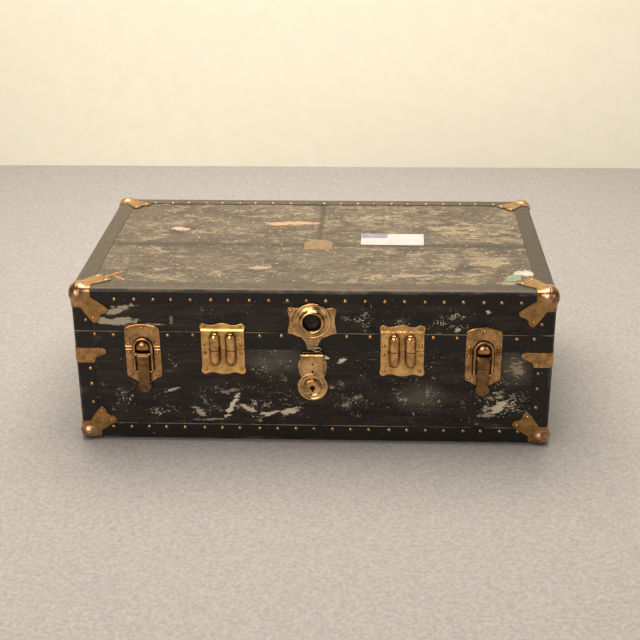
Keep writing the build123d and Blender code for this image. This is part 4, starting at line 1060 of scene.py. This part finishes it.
# %% [markdown]
# ## Paper and tape on the lid
# A blank paper label, a square of ochre tape and the remains of a peeled sticker are thin pressed outlines
# too, with ragged edges from a few seeded waves.

# %% Label, tape and sticker
def paper(name, light, dark, size, rough=0.75):
    """Paper or tape: a pale colour, dirtied in blotches of a size."""
    finish, tree, place = new_finish(name)
    dirt = clouds(tree, place, size, 51.0, detail=8.0, rough=0.65)
    colour = add(tree, "ValToRGB", [dirt], stops=[(0.36, dark), (0.56, light)])
    speck = clouds(tree, place, 3, 52.0, detail=3.0)
    colour, _ = let_through(tree, colour, "#5b5548", speck, 0.7, 0.75, 0.5)
    fuzz = add(tree, "MapRange", (dirt, 0.0, 1.0, rough - 0.1, rough + 0.1))
    return joined(finish, colour, fuzz, dirt)


def on_top(name, corners, look, amount=0.4, thickness=0.35, seed=3):
    """A thin piece on the lid's top. Its edge wanders out from the middle by an amount times a sum of
    seeded waves sin(k a + phase) / sqrt(k)."""
    line = even(np.array(corners, float), 160)
    seeded = np.random.default_rng(seed)
    along = np.linspace(0, 2 * np.pi, len(line), endpoint=False)
    wave = sum(np.sin(k * along + seeded.uniform(0, 6.3)) * seeded.uniform(0.3, 1) / k ** 0.5
               for k in (5, 9, 14, 23))
    line = line + amount * wave[:, None] * unit(line - line.mean(axis=0))
    shell = pressed(line, 0.0, thickness, roll=0.15, rows=14,
                    relief=lambda x, y: 0.12 * np.sin(x / 9) * np.sin(y / 7))
    put_in(name, [shell + (0, 0, lid_top / MM)], paper(*look), "lid")


on_top("paper_label", [(88, -16), (217, -17), (218, 49), (89, 50)], ("label_paper", "#b4b1b2", "#a5a4a9", 40))
on_top("label_corner", [(89.5, 22), (142, 24), (145, 48.5), (90.5, 49)],
       ("label_blue", "#7f8495", "#6b7084", 14), 1.2, 0.5, seed=4)
on_top("ochre_tape", [(-27, -47), (30, -45), (31, -8), (18, 9), (-10, 11), (-26, -4)],
       ("ochre_tape", "#7b6340", "#5d492d", 12, 0.5), 1.5, seed=5)
on_top("sticker_rest", [(362, -211), (392, -206), (398, -182), (388, -170), (370, -186)],
       ("sticker_green", "#7b8e74", "#5d6f58", 9), 3.0, seed=6)
on_top("sticker_edge", [(384, -176), (418, -184), (424, -166), (408, -152), (386, -160)],
       ("sticker_white", "#b4b3a9", "#8b918b", 9), 3.2, seed=8)

# %% [markdown]
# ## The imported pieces
# Coverings, bindings, linings, hinges, stays and steel strips are plain sheet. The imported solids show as
# they are and only take a finish.

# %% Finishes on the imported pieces
lining = paper("lining_paper", "#c9bea4", "#c0b397", 150, 0.8)


def birch_ply():
    """Plywood: pale bands of long grain with fine pores."""
    finish, tree, place = new_finish("birch_plywood")
    grain = clouds(tree, place, 8, 61.0, (14, 14, 1), 7.0)
    colour = add(tree, "ValToRGB", [grain], stops=[(0.3, "#a98358"), (0.7, "#cdab7c")])
    return joined(finish, colour, add(tree, "MapRange", (grain, 0.0, 1.0, 0.55, 0.75)), grain)


by_slot = {"plywood": birch_ply(), "fibre_covering": wall_fibre, "lid_fibre_covering": lid_fibre,
           "fibre_binding": binding, "lining_paper": lining, "sheet_brass": aged_brass,
           "corner_brass": cap_brass, "steel_strip": tinned_steel, "steel_pin": pin_steel,
           "leather_grip": grip_leather}
slot_of = {part["node"]: part["material_slot"] for part in frame["record"]["subparts"]}
for node, piece in frame["nodes"].items():
    piece.data.materials.clear()
    piece.data.materials.append(by_slot[slot_of[node]])
print("packed pieces with a finish:", len(frame["nodes"]))

# %% [markdown]
# ## Floor, wall and light
# A wide ceiling lamp a little behind the trunk leaves its front dark. A weaker lamp to the front left picks
# out the brass, and a dim sky fills the shadows. Floor and wall are plain and pale.

# %% Stage
def plain(name, dark, light, grain, clear_back):
    """A pale matt finish, slightly uneven. A clear back hides nothing from behind. The floor has none, and
    fades into the pale surroundings far away."""
    finish, tree, place = new_finish(name, {"Roughness": 0.9})
    shader = tree.nodes["Principled BSDF"]
    tone = add(tree, "ValToRGB", [clouds(tree, place, grain, 71.0)], stops=[(0.3, dark), (0.7, light)])
    tree.links.new(tone, shader.inputs["Base Color"])
    if clear_back:
        hidden = add(tree, "NewGeometry", out="Backfacing")
    else:
        far = add(tree, "VectorMath", [place], "Value", operation="LENGTH")
        far = add(tree, "MapRange", (far, 2.4, 5.5))
        hidden = add(tree, "Math", (far, add(tree, "LightPath", out="Is Camera Ray")), operation="MULTIPLY")
    both = add(tree, "MixShader", (hidden, shader.outputs[0], add(tree, "BsdfTransparent")))
    tree.links.new(both, tree.nodes["Material Output"].inputs["Surface"])
    return finish


def board(name, corners, *look):
    """One flat quadrilateral of the stage."""
    mesh = bpy.data.meshes.new(name)
    mesh.from_pydata(corners, [], [(0, 1, 2, 3)])
    mesh.materials.append(plain(name, *look))
    new_object(name, mesh)


board("floor", [(-8, -8, 0), (8, -8, 0), (8, 8, 0), (-8, 8, 0)], "#8d8d91", "#a7a7a7", 7, False)
board("wall", [(-8, 1.6, 0), (8, 1.6, 0), (8, 1.6, 5), (-8, 1.6, 5)], "#eef0e2", "#f3f4e8", 60, True)
print("stage: a floor and a wall")

# %% Lamps and sky
def lamp(name, place, size, watts, tint):
    """A square area lamp that faces the middle of the trunk."""
    light = bpy.data.lights.new(name, "AREA")
    light.size, light.energy, light.color = size, watts, linear(tint)[:3]
    trunk_middle = (0, 0, 0.16)
    away = unit(np.array(place) - trunk_middle)
    side = unit(np.cross((0, 0, 1), away))
    new_object(name, light, (side, np.cross(away, side), away), place)


lamp("ceiling", (-0.1, 0.5, 2.6), 2.4, 140, "#ffeedb")
lamp("window", (-1.2, -3.5, 1.6), 2.6, 84, "#fff0de")
lamp("room", (2.4, -2.2, 1.4), 1.8, 10, "#fff0e0")
world = bpy.data.worlds.new("room_light")
world.use_nodes = True
room = world.node_tree
dim = room.nodes["Background"]
dim.inputs["Color"].default_value = linear("#d9d6d0")
dim.inputs["Strength"].default_value = 0.18
pale = add(room, "Background", {"Color": linear("#dcd3bf"), "Strength": 1.0})
seen = add(room, "MixShader", (add(room, "LightPath", out="Is Camera Ray"), dim.outputs[0], pale))
room.links.new(seen, room.nodes["World Output"].inputs["Surface"])
bpy.context.scene.world = world
bpy.context.scene.view_settings.view_transform = "Standard"
